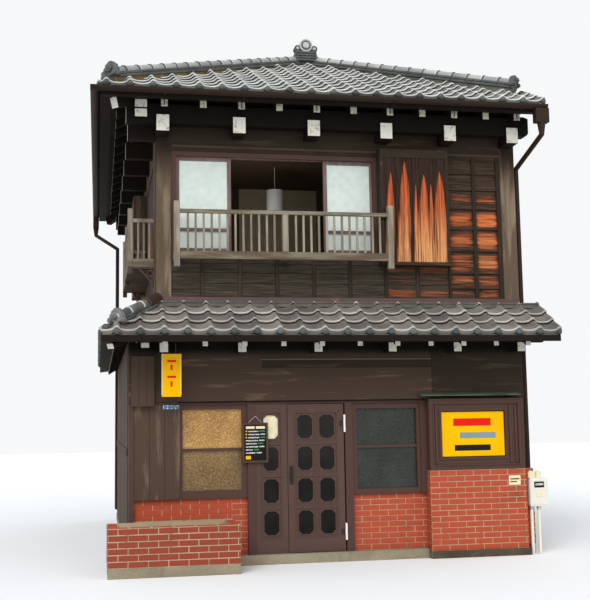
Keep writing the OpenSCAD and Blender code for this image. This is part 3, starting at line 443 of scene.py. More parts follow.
# %% The repeating tree
def repeat_tree():
    tree = bpy.data.node_groups.new("set_out_in_rows", "GeometryNodeTree")
    tree.interface.new_socket(name="Geometry", in_out="OUTPUT", socket_type="NodeSocketGeometry")
    for title, kind in (("Template", "Object"), ("Columns", "Int"), ("Rows", "Int"), ("Origin", "Vector"),
                        ("Step", "Vector"), ("Rise", "Vector"), ("Shift", "Float"), ("Turn", "Vector"),
                        ("Wobble", "Vector"), ("Tilt", "Vector"), ("Seed", "Int"), ("Finish", "Material")):
        tree.interface.new_socket(name=title, in_out="INPUT", socket_type="NodeSocket" + kind)
    given = tree.nodes.new("NodeGroupInput").outputs

    def node(kind, inputs=None, out=0, **settings):
        return add_node(tree, kind, inputs, **settings).outputs[out]

    def maths(operation, *values):
        return node("ShaderNodeMath", dict(enumerate(values)), operation=operation)

    def vectors(operation, a, b):
        second = "Scale" if operation == "SCALE" else 1
        return node("ShaderNodeVectorMath", {0: a, second: b}, operation=operation)

    def scattered(low, high, data, extra):
        """A random value for each copy, between low and high."""
        first, out = (2, "Value") if data == "FLOAT" else (0, 0)
        seed = maths("ADD", given["Seed"], extra)
        return node("FunctionNodeRandomValue", {first: low, first + 1: high, "Seed": seed}, out, data_type=data)

    all_ways = (-1, -1, -1), (1, 1, 1), "FLOAT_VECTOR"
    number = node("GeometryNodeInputIndex")
    column = maths("MODULO", number, given["Columns"])
    row = maths("FLOOR", maths("DIVIDE", number, given["Columns"]))
    along = maths("ADD", column, maths("MULTIPLY", maths("MODULO", row, 2.0), given["Shift"]))
    spot = vectors("ADD", vectors("SCALE", given["Step"], along), vectors("SCALE", given["Rise"], row))
    stray = vectors("MULTIPLY", given["Wobble"], scattered(*all_ways, 0.0))
    line = node("GeometryNodeMeshLine", {"Count": maths("MULTIPLY", given["Columns"], given["Rows"]),
                                         "Offset": (0, 0, 0)}, mode="OFFSET")
    points = node("GeometryNodeSetPosition", {
        "Geometry": line, "Position": vectors("ADD", vectors("ADD", spot, given["Origin"]), stray)})
    turn = vectors("ADD", given["Turn"], vectors("MULTIPLY", given["Tilt"], scattered(*all_ways, 7.0)))
    template = node("GeometryNodeObjectInfo", {"Object": given["Template"]}, "Geometry")
    copies = node("GeometryNodeInstanceOnPoints", {"Points": points, "Instance": template, "Rotation": turn})
    toned = node("GeometryNodeStoreNamedAttribute", {
        "Geometry": copies, "Name": "tone", "Value": scattered(-1.0, 1.0, "FLOAT", 13.0)},
        data_type="FLOAT", domain="INSTANCE")
    real = node("GeometryNodeRealizeInstances", {0: toned})
    finished = node("GeometryNodeSetMaterial", {"Geometry": real, "Material": given["Finish"]})
    add_node(tree, "NodeGroupOutput", {0: finished})
    return tree


rows_tree = repeat_tree()
sockets = {s.name: s.identifier for s in rows_tree.interface.items_tree if s.in_out == "INPUT"}
print("inputs:", sorted(sockets))

# %% [markdown]
# Using the tree
# `set_out` runs the tree once on a throwaway object and hands back a plain mesh. The modifier's
# inputs are set by their socket identifiers before the object is first evaluated.
# `piece` joins such meshes into one named object of the house and lets it ride on its body.

# %% Setting out and joining
def set_out(template, columns, rows, origin, step, rise=(0, 0, 0), shift=0.0, turn=(0, 0, 0),
            wobble=(0, 0, 0), tilt=(0, 0, 0), seed=1, finish=None):
    pattern, holder = show("pattern", template), show("holder", bpy.data.meshes.new("holder"))
    rows_mod = holder.modifiers.new("rows", "NODES")
    rows_mod.node_group = rows_tree
    for title, value in (("Template", pattern), ("Columns", columns), ("Rows", rows), ("Origin", Vector(origin)),
                         ("Step", Vector(step)), ("Rise", Vector(rise)), ("Shift", shift),
                         ("Turn", Vector(turn)), ("Wobble", Vector(wobble)), ("Tilt", Vector(tilt)),
                         ("Seed", seed), ("Finish", looks[finish])):
        rows_mod[sockets[title]] = value
    ready = holder.evaluated_get(bpy.context.evaluated_depsgraph_get())
    mesh = bpy.data.meshes.new_from_object(ready)
    bpy.data.objects.remove(holder)
    bpy.data.objects.remove(pattern)
    return mesh


def piece(name, meshes, body="root"):
    """Joins meshes into one object of the house that moves with the body."""
    finishes, joined = [], bmesh.new()
    for mesh in meshes:
        first = len(joined.faces)
        joined.from_mesh(mesh)
        joined.faces.ensure_lookup_table()
        for face in joined.faces[first:]:
            material = mesh.materials[face.material_index]
            if material not in finishes:
                finishes.append(material)
            face.material_index = finishes.index(material)
    whole = bpy.data.meshes.new(name)
    joined.to_mesh(whole)
    joined.free()
    for material in finishes:
        whole.materials.append(material)
    thing = show(name, whole)
    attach(thing, body)
    print(f"{name}: {len(whole.polygons)} faces")
    return thing


def outwards(work):
    bmesh.ops.recalc_face_normals(work, faces=work.faces[:])


def made(work, finish=None):
    """The mesh that the work ends in, with its finish."""
    mesh = bpy.data.meshes.new("part")
    work.to_mesh(mesh)
    work.free()
    if finish:
        mesh.materials.append(looks[finish])
    return mesh


def skin(work, rings, closed=True, smooth=False):
    """Faces between each row of points and the next."""
    for first, second in zip(rings, rings[1:]):
        for k in range(0 if closed else 1, len(first)):
            work.faces.new((first[k - 1], first[k], second[k], second[k - 1])).smooth = smooth


def block(low, high, finish, bevel=0.0, tone=0.0):
    """A box between two corners, with its edges taken off by the bevel."""
    work = bmesh.new()
    bmesh.ops.create_cube(work, size=1.0)
    for v in work.verts:
        v.co = Vector([low[i] + (v.co[i] + 0.5) * (high[i] - low[i]) for i in range(3)])
    if bevel:
        bmesh.ops.bevel(work, geom=work.edges[:], offset=bevel, segments=1, affect="EDGES")
    layer = work.verts.layers.float.new("tone")
    for v in work.verts:
        v[layer] = tone
    return made(work, finish)


def prism(outline, depth, finish, place=Matrix.Identity(4), bevel=0.0):
    """An outline drawn in X and Z, given a depth along Y, and put in its place."""
    work = bmesh.new()
    face = work.faces.new([work.verts.new((x, 0, z)) for x, z in outline])
    grown = bmesh.ops.extrude_face_region(work, geom=[face])["geom"]
    bmesh.ops.translate(work, verts=[g for g in grown if isinstance(g, bmesh.types.BMVert)], vec=(0, depth, 0))
    outwards(work)
    if bevel:
        bmesh.ops.bevel(work, geom=[e for e in work.edges if e.calc_face_angle(0) > 0.5], offset=bevel,
                        segments=1, affect="EDGES")
    bmesh.ops.transform(work, matrix=place, verts=work.verts[:])
    return made(work, finish)


def trim(mesh, *planes):
    """Cuts away what lies beyond each plane, given as a point and an outward direction, and caps the cuts."""
    work = bmesh.new()
    work.from_mesh(mesh)
    for point, outward in planes:
        cut = bmesh.ops.bisect_plane(work, geom=work.verts[:] + work.edges[:] + work.faces[:], dist=1e-5,
                                     plane_co=point, plane_no=outward, clear_outer=True)
        open_edges = [g for g in cut["geom_cut"] if isinstance(g, bmesh.types.BMEdge) and g.is_boundary]
        bmesh.ops.holes_fill(work, edges=open_edges, sides=0)
    work.to_mesh(mesh)
    work.free()
    return mesh


def disc(x, z, r, sides=20, squat=1.0):
    """The points of a circle in X and Z, lower than it is wide if squat is under 1."""
    return [(x + r * math.cos(a), z + r * squat * math.sin(a))
            for a in (2 * math.pi * k / sides for k in range(sides))]


def standing(at, facing):
    """The place of a drawing that stands at a point and faces a level way."""
    out = Vector((*facing, 0)).normalized()
    return seat(at, -UP.cross(out), -out, UP)


def line_ways(line):
    """The ways along a sloping line, level to its side, and up from it."""
    along = line.normalized()
    side = Vector((-along.y, along.x, 0)).normalized()
    return along, side, along.cross(side)


print("helpers ready")

# %% [markdown]
# The tiled slopes
# Each clay tile is a shallow trough with a raised roll at one side that covers the joint to its
# neighbour. Rows overlap by 45 mm and every nose lies on the tile below, which draws the stepped
# shadow lines. One template tile of some thirty faces is set out over each slope, then the sheet of
# tiles is cut along the hips. The bottom row has a hanging apron with a round end at each roll.

# %% One tile, with and without its eave apron
tile_width, skirt_tile_width, tile_length, tile_exposed = 0.2667, 0.2627, 0.28, 0.235
nose, nose_gap, apron, roll_at = 0.031, 0.017, 0.034, 0.236
tile_wave = [(0.0, 0.016), (0.014, 0.006), (0.045, -0.003), (0.085, -0.008), (0.125, -0.008), (0.165, -0.002),
             (0.192, 0.008), (0.209, 0.026), (0.225, 0.038), (0.241, 0.040), (0.256, 0.032), (0.270, 0.014)]


def wave_sheet(*rows):
    """A sheet that follows the tile's wave: each row is its place up the slope and its height."""
    work = bmesh.new()
    skin(work, [[work.verts.new((u, v, h + w)) for u, h in tile_wave] for v, w in rows], closed=False)
    return work


def clay_tile(hanging):
    """One tile, with its nose hanging down below the joint."""
    work = wave_sheet((-0.004, nose - nose_gap - hanging), (-0.004, nose - 0.003), (0.007, nose), (tile_length, 0.0))
    outwards(work)
    if sum(f.normal.z for f in work.faces if abs(f.normal.z) > 0.7) < 0:
        bmesh.ops.reverse_faces(work, faces=work.faces[:])
    for face in work.faces:
        face.smooth = abs(face.normal.z) > 0.5
    return made(work)


def ball_end(work, radius, x, z, sides, squat=1.0):
    """A domed disc that closes a roll at the eave, facing the street."""
    rings = [[work.verts.new((across, y, up)) for across, up in disc(x, z, radius * k, sides, squat)]
             for k, y in ((0.96, 0.012), (1.0, -0.012), (0.86, -0.027), (0.45, -0.035))]
    skin(work, rings)
    work.faces.new(rings[-1])
    return rings


round_end = bmesh.new()
ball_end(round_end, 0.045, roll_at, 0.014, 12, 0.75)
outwards(round_end)
plain_tile, eave_tile, end_tile = clay_tile(0.0), clay_tile(apron), made(round_end)
# The pale strip that rides on the face of each nose is a painted highlight.
nose_highlight_strip = made(wave_sheet((-0.0052, nose - 0.011), (-0.0052, nose - 0.002), (0.007, nose + 0.0012),
                           (0.024, nose + 0.0002)))
# The dark strip set back under each nose, in the gap above the tile below, is painted shadow.
nose_shadow_strip = made(wave_sheet((-0.020, 0.0105), (-0.0046, 0.0085), (-0.0046, nose - nose_gap + 0.002)))
print("tile faces:", len(plain_tile.polygons), "eave tile faces:", len(eave_tile.polygons))

# %% [markdown]
# Slopes are named by the side they face. Each slope has one way along its eave, one up the slope
# and one out of it, and the turn that the tree needs comes from those three directions.
# Under the tiles lies a slab that stands for the solid roof: the same outline, its top let down so
# that only tiles show, with dark boards underneath, where rafters throw their shadows. The near-black
# of those boards is stain and painted shade together.
# The skirt roof over the shop is the same work on a small scale: three rows and a cut fourth, on
# the front and the left side, mitred at the corner.

# %% Slopes and the boarding under them
front_y, back_y, left_eave, right_trim = -0.56, 7.03, -0.76, 4.66
ridge_x, ridge_front, ridge_back = 2.222, 2.422, 4.048
pitch, eave_top, roof_thick = 0.46, 5.54, 0.187
# The tiles climb a little faster than the boards, on a clay bed that grows towards the ridge
tile_pitch = 0.467
house_left, house_right, house_depth = -0.085, 4.46, 6.47
skirt_left, skirt_front, skirt_right = -0.729, -0.64, 4.70
skirt_eave, skirt_top = 2.68, 3.05
front_fall, side_fall = 0.37 / 0.64, 0.37 / 0.644


def roof_height(p):
    run = min(p.y - front_y, back_y - p.y, p.x - left_eave, 2 * ridge_x - left_eave - p.x)
    return eave_top + run * pitch


def skirt_height(p):
    front, side = skirt_eave + (p.y - skirt_front) * front_fall, skirt_eave + (p.x - skirt_left) * side_fall
    if p.y > 0.001:
        return side
    return min(front, side) if p.x < -0.08 else front


def tiled(start, inward, rise, length, cuts, seed, wide, rows, clay, lip):
    """Tiles from a start point on the eave, their columns running along it for the given length."""
    climb = Vector((*inward, rise)).normalized()
    out = Vector((-inward[0] * rise, -inward[1] * rise, 1)).normalized()
    along = climb.cross(out)
    turn = seat((0, 0, 0), along, climb, out).to_euler()
    begin = Vector(start) - out * 0.012
    sheets = []
    for template, first, count, finish in (
            (eave_tile, 0, 1, clay), (plain_tile, 1, rows - 1, clay), (end_tile, 0, 1, "course_tile"),
            (nose_highlight_strip, 0, 1, lip), (nose_highlight_strip, 1, rows - 1, lip), (nose_shadow_strip, 1, rows - 1, "tile_shadow")):
        sheet = set_out(template, math.ceil(length / wide) + 2, count, begin + climb * (tile_exposed * first),
                        along * wide, climb * tile_exposed, turn=turn, wobble=(0.0015, 0.002, 0.0015),
                        tilt=(0.008, 0.006, 0.004), seed=seed + first, finish=finish)
        sheets.append(trim(sheet, *cuts))
    return sheets


def boarding(node, top_of, drop):
    """The slab under the tiles: the solid's own outline with its top let down."""
    work = bmesh.new()
    work.from_mesh(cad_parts[node].data)
    bmesh.ops.remove_doubles(work, verts=work.verts[:], dist=1e-5)
    for v in work.verts:
        if v.co.z > top_of(v.co) - 0.002:
            v.co.z -= drop
    work.normal_update()
    for face in work.faces:
        face.material_index = 0 if face.normal.z > 0.3 else 1
        face.smooth = False
    mesh = made(work, "hip_clay")
    mesh.materials.append(looks["eave_timber"])
    return mesh


width, depth = right_trim - left_eave, back_y - front_y
right_eave = eave_top + (2 * ridge_x - left_eave - right_trim) * tile_pitch
front_left, back_left = (left_eave, front_y, 0), (left_eave, back_y, 0)
front_peak, back_peak = (ridge_x, ridge_front, 0), (ridge_x, ridge_back, 0)
right_end = ((right_trim, 0, 0), (1, 0, 0))
# The first rolls lie a little in from the left corners, so each sheet starts outside
first_roll = 0.072
lead = roll_at - first_roll
for name, start, inward, length, cuts, seed in (
        ("roof_front", (left_eave - lead, front_y, eave_top), (0, 1), width,
         [(front_left, (-1, 1, 0)), (front_peak, (1, 1, 0)), right_end, (front_peak, (0, 1, 0))], 11),
        ("roof_back", (left_eave + first_roll + 20 * tile_width + roll_at, back_y, eave_top), (0, -1), width,
         [(back_left, (-1, -1, 0)), (back_peak, (1, -1, 0)), right_end, (back_peak, (0, -1, 0))], 21),
        ("roof_left", (left_eave, back_y + lead, eave_top), (1, 0), depth,
         [(front_left, (1, -1, 0)), (back_left, (1, 1, 0)), (front_peak, (1, 0, 0))], 31),
        ("roof_right", (right_trim, back_y - first_roll - 28 * tile_width - roll_at, right_eave), (-1, 0), depth,
         [(front_peak, (-1, -1, 0)), (back_peak, (-1, 1, 0)), (front_peak, (-1, 0, 0))], 41)):
    sheets = tiled(start, inward, tile_pitch, length, cuts, seed, tile_width, 15, "silver_tile", "silver_lip")
    slope = piece(name + "_tiles", sheets + [boarding(name, roof_height, 0.05)])
    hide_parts(name)

corner = (skirt_left, skirt_front, 0)
mitre = (house_left - skirt_left, -skirt_front)
skirt_lead = roll_at - 0.168
for name, start, inward, rise, length, cuts, seed in (
        ("front", (skirt_left - skirt_lead, skirt_front, skirt_eave), (0, 1), front_fall, skirt_right - skirt_left,
         [(corner, (-mitre[1], mitre[0], 0)), ((skirt_right, 0, 0), (1, 0, 0)), ((0, -0.004, 0), (0, 1, 0))], 51),
        ("left", (skirt_left, house_depth + skirt_lead, skirt_eave), (1, 0), side_fall, house_depth - skirt_front,
         [(corner, (mitre[1], -mitre[0], 0)), ((0, house_depth, 0), (0, 1, 0)),
          ((house_left - 0.004, 0, 0), (1, 0, 0))], 61)):
    sheets = tiled(start, inward, rise, length, cuts, seed, skirt_tile_width, 4, "skirt_tile", "skirt_lip")
    slope = piece(f"skirt_{name}_tiles", sheets + [boarding("skirt_roof_" + name, skirt_height, 0.045)])
    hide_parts("skirt_roof_" + name)

# %% [markdown]
# Ridge and hips
# A ridge is built of flat courses bedded in clay, under a run of round cap tiles with a collar at
# each joint. A hip is the same with fewer courses. At the ends stand ornament tiles.
# Courses and caps are set out along the line by the same tree, turned to lie on it.

# %% Cap tile, course tile and the runs along a line
cap_step, cap_sides = 0.235, 10


def cap_tile(radius):
    """A round cap with a dark joint at its foot, as (the cap, the joint)."""
    meshes = []
    arc = [math.pi * (k / cap_sides * 1.2 - 0.1) for k in range(cap_sides + 1)]
    for stations in (((0.007, 1.07), (0.03, 1.09), (0.033, 1), (cap_step + 0.004, 0.96)),
                     ((-0.004, 1.10), (0.009, 1.10))):
        work = bmesh.new()
        rings = [[work.verts.new((x, radius * grow * math.cos(a), radius * grow * math.sin(a))) for a in arc]
                 for x, grow in stations]
        skin(work, rings, closed=False, smooth=True)
        work.faces.new(rings[0][::-1])
        work.faces.new(rings[-1])
        outwards(work)
        meshes.append(made(work))
    return meshes


def run_of_caps(start, end, wide, courses, course_height, radius, seed, deep=0.05, bed="hip_clay",
                joint="dark_joint", caps="ridge_tile"):
    """Flat courses and round caps from start up to end, on a bed of clay that reaches deep below them."""
    line = end - start
    count = max(1, round(line.length / cap_step))
    place = seat(start, *line_ways(line))
    step, up = line / count, line_ways(line)[2]
    jobs = []
    for level in range(courses):
        half = wide / 2 * (1 - 0.09 * level)
        flat = block((0, -half, 0), (step.length - 0.003, half, course_height - 0.008), "course_tile", 0.004)
        jobs.append((flat, level, level, "course_tile"))
    jobs += [(mesh, courses, 9, finish) for mesh, finish in zip(cap_tile(radius), (caps, joint))]
    parts = [set_out(mesh, count, 1, start + up * (level * course_height), step, turn=place.to_euler(),
                     wobble=(0.001, 0.001, 0.001), seed=seed + extra, finish=finish)
             for mesh, level, extra, finish in jobs]
    heart = block((0, 0.018 - wide / 2, -deep), (line.length, wide / 2 - 0.018, courses * course_height - 0.012), bed)
    heart.transform(place)
    return parts + [heart]


def rectangle(x0, x1, z0, z1):
    return [(x0, z0), (x1, z0), (x1, z1), (x0, z1)]


def ornament(at, facing, size, finish="course_tile"):
    """An end tile: a stepped cloud outline with two scrolls and a round boss, standing across the ridge."""
    right = [(1.35, -1.0), (1.42, -0.55), (1.16, -0.28), (1.2, 0.06), (0.9, 0.3), (0.86, 0.62), (0.5, 0.8), (0.3, 1.04)]
    outline = [(-1.35, -1.0)] + right + [(-x, z) for x, z in right[:0:-1]]
    place = standing(at, facing)
    parts = [prism([(x * size, z * size) for x, z in outline], 0.07, finish, place, 0.008)]
    for x, z, r, proud in ((0, 0.05, 0.52, 0.03), (-0.95, -0.62, 0.34, 0.025), (0.95, -0.62, 0.34, 0.025),
                           (0, 0.05, 0.24, 0.045)):
        parts.append(prism(disc(x * size, z * size, r * size, 14), proud + 0.01, finish,
                           place @ Matrix.Translation((0, -proud, 0)), 0.006))
    return parts


def top_tile(at, away):
    """The end of the ridge: four flat courses, and on them a round face with rings between two scrolls."""
    place = Matrix.Translation(at) @ Matrix.Rotation(0 if away < 0 else math.pi, 4, "Z")
    parts = []
    for level in range(4):
        half, foot = 0.18 - 0.008 * level, level * 0.038 - 0.04
        parts.append(prism(rectangle(-half, half, foot, foot + 0.031), 0.20, "course_tile",
                           place @ Matrix.Translation((0, -0.04, 0)), 0.005))
    parts.append(prism(rectangle(-0.15, 0.15, -0.09, 0.10), 0.18, "dark_joint", place))
    for places, z, r, proud, clay in (
            ((0,), 0.196, 0.098, 0.030, "ridge_tile"), ((0,), 0.196, 0.074, 0.036, "course_tile"),
            ((0,), 0.196, 0.048, 0.044, "ridge_tile"), ((-0.125, 0.125), 0.148, 0.048, 0.028, "course_tile"),
            ((-0.125, 0.125), 0.148, 0.022, 0.038, "ridge_tile")):
        parts += [prism(disc(x, z, r), 0.10 + proud, clay, place @ Matrix.Translation((0, -proud, 0)), 0.005)
                  for x in places]
    return parts


def corner_ball(at, facing, radius):
    """The domed tile that closes the corner of two eaves, on a short neck."""
    work = bmesh.new()
    face = ball_end(work, radius, 0, 0, 14)[0]
    neck = [work.verts.new((x, 0.17, z)) for x, z in disc(0, 0, 0.8 * radius, 14)]
    skin(work, [neck, face], smooth=True)
    work.faces.new(neck[::-1])
    outwards(work)
    bmesh.ops.transform(work, verts=work.verts[:], matrix=standing(at, facing))
    return made(work, "course_tile")


half_width = ridge_x - left_eave
apex = [Vector((ridge_x, y, eave_top + half_width * tile_pitch)) for y in (ridge_front, ridge_back)]
beyond = Vector((0, 0.02, 0))
ridge_parts = run_of_caps(apex[0] - beyond, apex[1] + beyond, 0.21, 4, 0.043, 0.075, 70)
for k, (end, away, eave_y) in enumerate(zip(apex, (-1, 1), (front_y, back_y))):
    for side, reach, lift, size, bed in ((-1, half_width * 0.958, 0.035, 0.090, "bed_clay"),
                                         (1, right_trim - ridge_x - 0.110, 0.060, 0.075, "hip_clay")):
        foot = end + Vector((side * reach, away * reach, lift - reach * tile_pitch))
        ridge_parts += run_of_caps(foot, end, 0.17, 2, 0.0375, 0.060, 80 + 10 * k + side, 0.05 + lift, bed)
        ridge_parts += ornament(foot + Vector((side * 0.02, away * 0.02, 0.11)), (side, away), size)
    ridge_parts += top_tile(end + Vector((0, away * 0.19, 0.030)), away)
    ridge_parts.append(corner_ball((left_eave + 0.055, eave_y - away * 0.055, eave_top + 0.045), (-1, away), 0.062))
ridges = piece("ridge_and_hips", ridge_parts)
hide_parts("ridges")

hip_foot, hip_top = Vector((skirt_left, skirt_front, skirt_eave)), Vector((house_left, 0, skirt_top))
low_foot, low_top = hip_top.lerp(hip_foot, 0.73), hip_top.lerp(hip_foot, 0.05)
hip_ways = line_ways(low_top - low_foot)
hood = cap_tile(0.080)[0]
hood.materials.append(looks["flashing_sheet"])
hood.transform(seat(low_top - hip_ways[0] * 0.17 + UP * 0.062, *hip_ways))
skirt_hip = piece("skirt_hip_caps", [
    *run_of_caps(low_foot, low_top, 0.15, 2, 0.031, 0.060, 120, joint="white_joint", caps="old_cap"), hood,
    *ornament(low_foot + Vector((-0.022, -0.022, 0.087)), (-1, -1), 0.084, "old_cap"),
    corner_ball(hip_foot + Vector((0.05, 0.05, 0.04)), (-1, -1), 0.045)])
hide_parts("skirt_hip")

# %% [markdown]
# Where the skirt roof meets the wall
# A course of flat tiles lies along the wall on the clay bed, and a strip of brown sheet over it
# turns the rain away from the boards.

# %% Flat course and its sheet lip
quarter = Matrix.Rotation(math.pi / 2, 4, "Z")


def wall_strip(outline, right, finish):
    """A strip along the front wall, drawn in Y and in height over the skirt roof's top."""
    return prism([(y, skirt_top + z) for y, z in outline], right - house_left, finish,
                 Matrix.Translation((right, 0, 0)) @ quarter)


flat_tile = block((0, -0.058, 0), (0.262, -0.002, 0.021), "course_tile", 0.003)
course = piece("flat_course", [
    set_out(flat_tile, 18, 1, (house_left, 0, skirt_top + 0.016), (0.2658, 0, 0), wobble=(0.001, 0.002, 0.001),
            seed=130, finish="course_tile"),
    wall_strip([(-0.05, 0.017), (-0.05, -0.05 * front_fall), (0, 0), (0, 0.017)], skirt_right, "hip_clay"),
    wall_strip([(-0.03, 0.038), (0, 0.038), (0, 0.09), (-0.012, 0.09)], house_right, "flashing_sheet")])
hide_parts("skirt_flashing")

# %% [markdown]
# White beam ends
# The end grain of every arm, purlin and rafter is painted white, to keep the rain out and to draw
# a dotted line under the eaves. A plate 3.5 mm thick with soft edges stands for each coat of paint.
# Ends along a line are set out by the tree. Those of the hip rafters turn with the corner.

# %% Ends under the upper eaves and the skirt roof
post_lines = (0.0, 0.909, 1.818, 2.727, 3.545, 4.363)
half_lines = [x for a, b in zip(post_lines, post_lines[1:]) for x in (a, (a + b) / 2)] + [post_lines[-1]]
ken, coat = 0.909, 0.0035


def under_roof(run):
    return eave_top - roof_thick + run * pitch


def under_skirt(reach, fall=front_fall):
    return skirt_top - roof_thick - reach * fall


def painted_end(x, z, y, facing=-1, paint="white_paint"):
    """Paint on an end that faces along Y: x and z are spans, y its plane."""
    near, far = sorted((y, y + facing * coat))
    return block((x[0], near, z[0]), (x[1], far, z[1]), paint, 0.0015)


def painted_side(y, z, x):
    """Paint on an end that faces left."""
    return block((x - coat, y[0], z[0]), (x, y[1], z[1]), "shaded_white", 0.0015)


def painted_row(end, count, step, seed):
    return set_out(end, count, 1, (0, 0, 0), (0, step, 0), seed=seed, finish="shaded_white")


def hip_end(foot, head, wide, high):
    plate = block((-coat, -wide / 2 - 0.001, -high), (0, wide / 2 + 0.001, 0.0), "white_paint", 0.003)
    plate.transform(seat(foot, *line_ways(head - foot)))
    return plate


ends = []
rafter_z, left_z = (under_roof(0.132) - 0.086, under_roof(0.132)), (under_roof(0.2) - 0.086, under_roof(0.2))
for facing, mirror in ((-1, lambda y: y), (1, lambda y: house_depth - y)):
    ends += [painted_end((x - 0.105, x + 0.045), (5.08, 5.275), mirror(-0.283), facing) for x in post_lines]
    ends += [painted_end((x - 0.059, x + 0.019), rafter_z, mirror(front_y + 0.132), facing, "shaded_white")
             for x in half_lines]
    ends += [painted_end((-0.355, -0.215), span, mirror(-0.283), facing) for span in ((5.24, 5.335), (5.355, 5.45))]
    ends.append(painted_side(sorted((mirror(-0.25), mirror(-0.11))), (5.18, 5.405), -0.455))
ends += [painted_end((x - 0.0675, x + 0.0275), (2.466, 2.576), -0.274) for x in post_lines]
skirt_z, side_z = under_skirt(0.492), under_skirt(0.496, side_fall)
ends += [painted_end((x - 0.05, x + 0.01), (skirt_z - 0.06, skirt_z), -0.492) for x in half_lines]
ends += [painted_side((-0.264, -0.184), (2.576, 2.645), -0.33),
         block((-0.279, -0.274, 2.519), (-0.189, -0.015, 2.575), "eave_timber", 0.002),
         painted_end((-0.279, -0.189), (2.519, 2.575), -0.274),
         painted_row(painted_side((0.015, 0.12), (5.04, 5.24), -0.43), 8, ken, 141),
         painted_row(painted_side((0.18825, 0.26625), left_z, left_eave + 0.2), 14, ken / 2, 142),
         painted_row(painted_side((0, 0.06), (side_z - 0.06, side_z), -0.581), 15, ken / 2, 143)]
for y, turn in ((front_y, 1), (back_y, -1)):
    foot = Vector((left_eave + 0.15, y + turn * 0.15, under_roof(0.15)))
    ends.append(hip_end(foot, foot + Vector((0.5, turn * 0.5, 0.5 * pitch)), 0.095, 0.13))
ends.append(hip_end(Vector((house_left - 0.552, -0.552, under_skirt(0.552))),
                    Vector((house_left, 0, under_skirt(0.0))), 0.09, 0.06))
piece("white_ends", ends)

# %% [markdown]
# Brickwork
# Bricks are 208 by 58 mm in running bond with pale joints. A course is 60 to 70 mm high, so that
# whole courses fill each face. A template brick stands 5 mm out of its mortar bed. It is set out
# over a face with every second row shifted by half a brick, and the sheet is cut at the corners,
# which leaves half bricks as a mason would.

# %% Brick faces
brick_long = 0.218
right_way, back_way, front_way, left_way = (Vector(way) for way in ((1, 0, 0), (0, 1, 0), (0, -1, 0), (-1, 0, 0)))
brick_face = block((0.005, -0.005, 0.005), (0.213, 0.004, 0.063), "brick", 0.0025)


def facing_turn(along):
    """Turns a template drawn for the front wall onto a wall that runs along another way."""
    return seat((0, 0, 0), along, UP.cross(along), UP).to_euler()


def brick_sheet(corner_at, along, length, height, rows, seed, finish="brick"):
    """Bricks on an upright face: corner_at is its lower left as seen from outside."""
    start = Vector(corner_at)
    sheet = set_out(brick_face, math.ceil(length / brick_long) + 2, rows, start - along * brick_long,
                    along * brick_long, (0, 0, height / rows), 0.5, turn=facing_turn(along),
                    wobble=(0.0012, 0.0012, 0.0008), seed=seed, finish=finish)
    return trim(sheet, (start + along * 0.002, -along), (start + along * (length - 0.002), along))


bricks = [brick_sheet(*face) for face in (
    ((3.183, -0.112, 0.082), right_way, 1.226, 0.953, 14, 151),
    ((3.183, 0.06, 0.11), front_way, 0.172, 0.925, 14, 152),
    ((4.409, -0.112, 0.11), back_way, 0.112, 0.925, 14, 153),
    ((4.409, 0.0, 0.11), right_way, 0.136, 0.925, 14, 154),
    ((4.545, 0.0, 0.11), back_way, 0.17, 0.925, 14, 163),
    ((2.259, 0.06, 0.11), right_way, 0.924, 0.66, 10, 155),
    ((0.792, 0.06, 0.11), right_way, 0.188, 0.66, 10, 156),
    ((-0.35, 0.06, 0.53), right_way, 1.142, 0.24, 4, 157),
    ((-0.65, -0.70, 0.11), right_way, 1.442, 0.42, 6, 158, "mossy_brick"),
    ((0.792, -0.70, 0.11), back_way, 0.64, 0.42, 6, 159, "mossy_brick"),
    ((-0.65, -0.06, 0.11), front_way, 0.64, 0.42, 6, 160, "mossy_brick"))]
cap_brick = block((0.005, 0.004, -0.004), (0.213, 0.101, 0.004), "brick", 0.0025)
bricks.append(set_out(cap_brick, 6, 1, (-0.65, -0.70, 0.53), (0.2403, 0, 0), seed=161, finish="brick"))
side_cap = block((0.004, 0.005, -0.004), (0.101, 0.213, 0.004), "brick", 0.0025)
bricks += [set_out(side_cap, 1, 2, (x, -0.59, 0.53), (0, 0, 0), (0, 0.22, 0), seed=162, finish="brick")
           for x in (-0.65, 0.687)]
# The narrow pier at the right is made here: a core of mortar under its two brick faces
bricks.append(block((4.405, 0.004, 0.0), (4.541, 0.166, 1.033), "mortar"))
piece("bricks", bricks)

# %% [markdown]
# Boards
# Two kinds cover the house. Upright boards stand side by side with a thin dark gap. Clapboards
# lap over each other from the foot up, so each has a proud lower edge that throws a line of shade.
# Both are templates for the tree. `plank_wall` and `lap_wall` only work out widths and turns.

# %% Upright boards and clapboards
def plank_wall(corner_at, along, length, height, count, seed, proud=0.008, finish="black_boards"):
    wide = length / count
    plank = block((0.002, -proud, 0), (wide - 0.002, 0.003, height), finish, 0.0016)
    return set_out(plank, count, 1, corner_at, along * wide, turn=facing_turn(along),
                   wobble=(0.0008, 0.0008, 0.001), seed=seed, finish=finish)


def lap_wall(corner_at, along, length, height, columns, rows, finish, seed):
    wide, rise = length / columns, height / rows
    lap = prism([(0.003, 0), (-0.020, 0), (-0.006, rise + 0.012), (0.003, rise + 0.012)], wide - 0.004, finish,
                Matrix.Translation((wide - 0.002, 0, 0)) @ quarter, 0.0016)
    return set_out(lap, columns, rows, corner_at, along * wide, (0, 0, rise), turn=facing_turn(along),
                   wobble=(0.0008, 0.0008, 0.0), seed=seed, finish=finish)


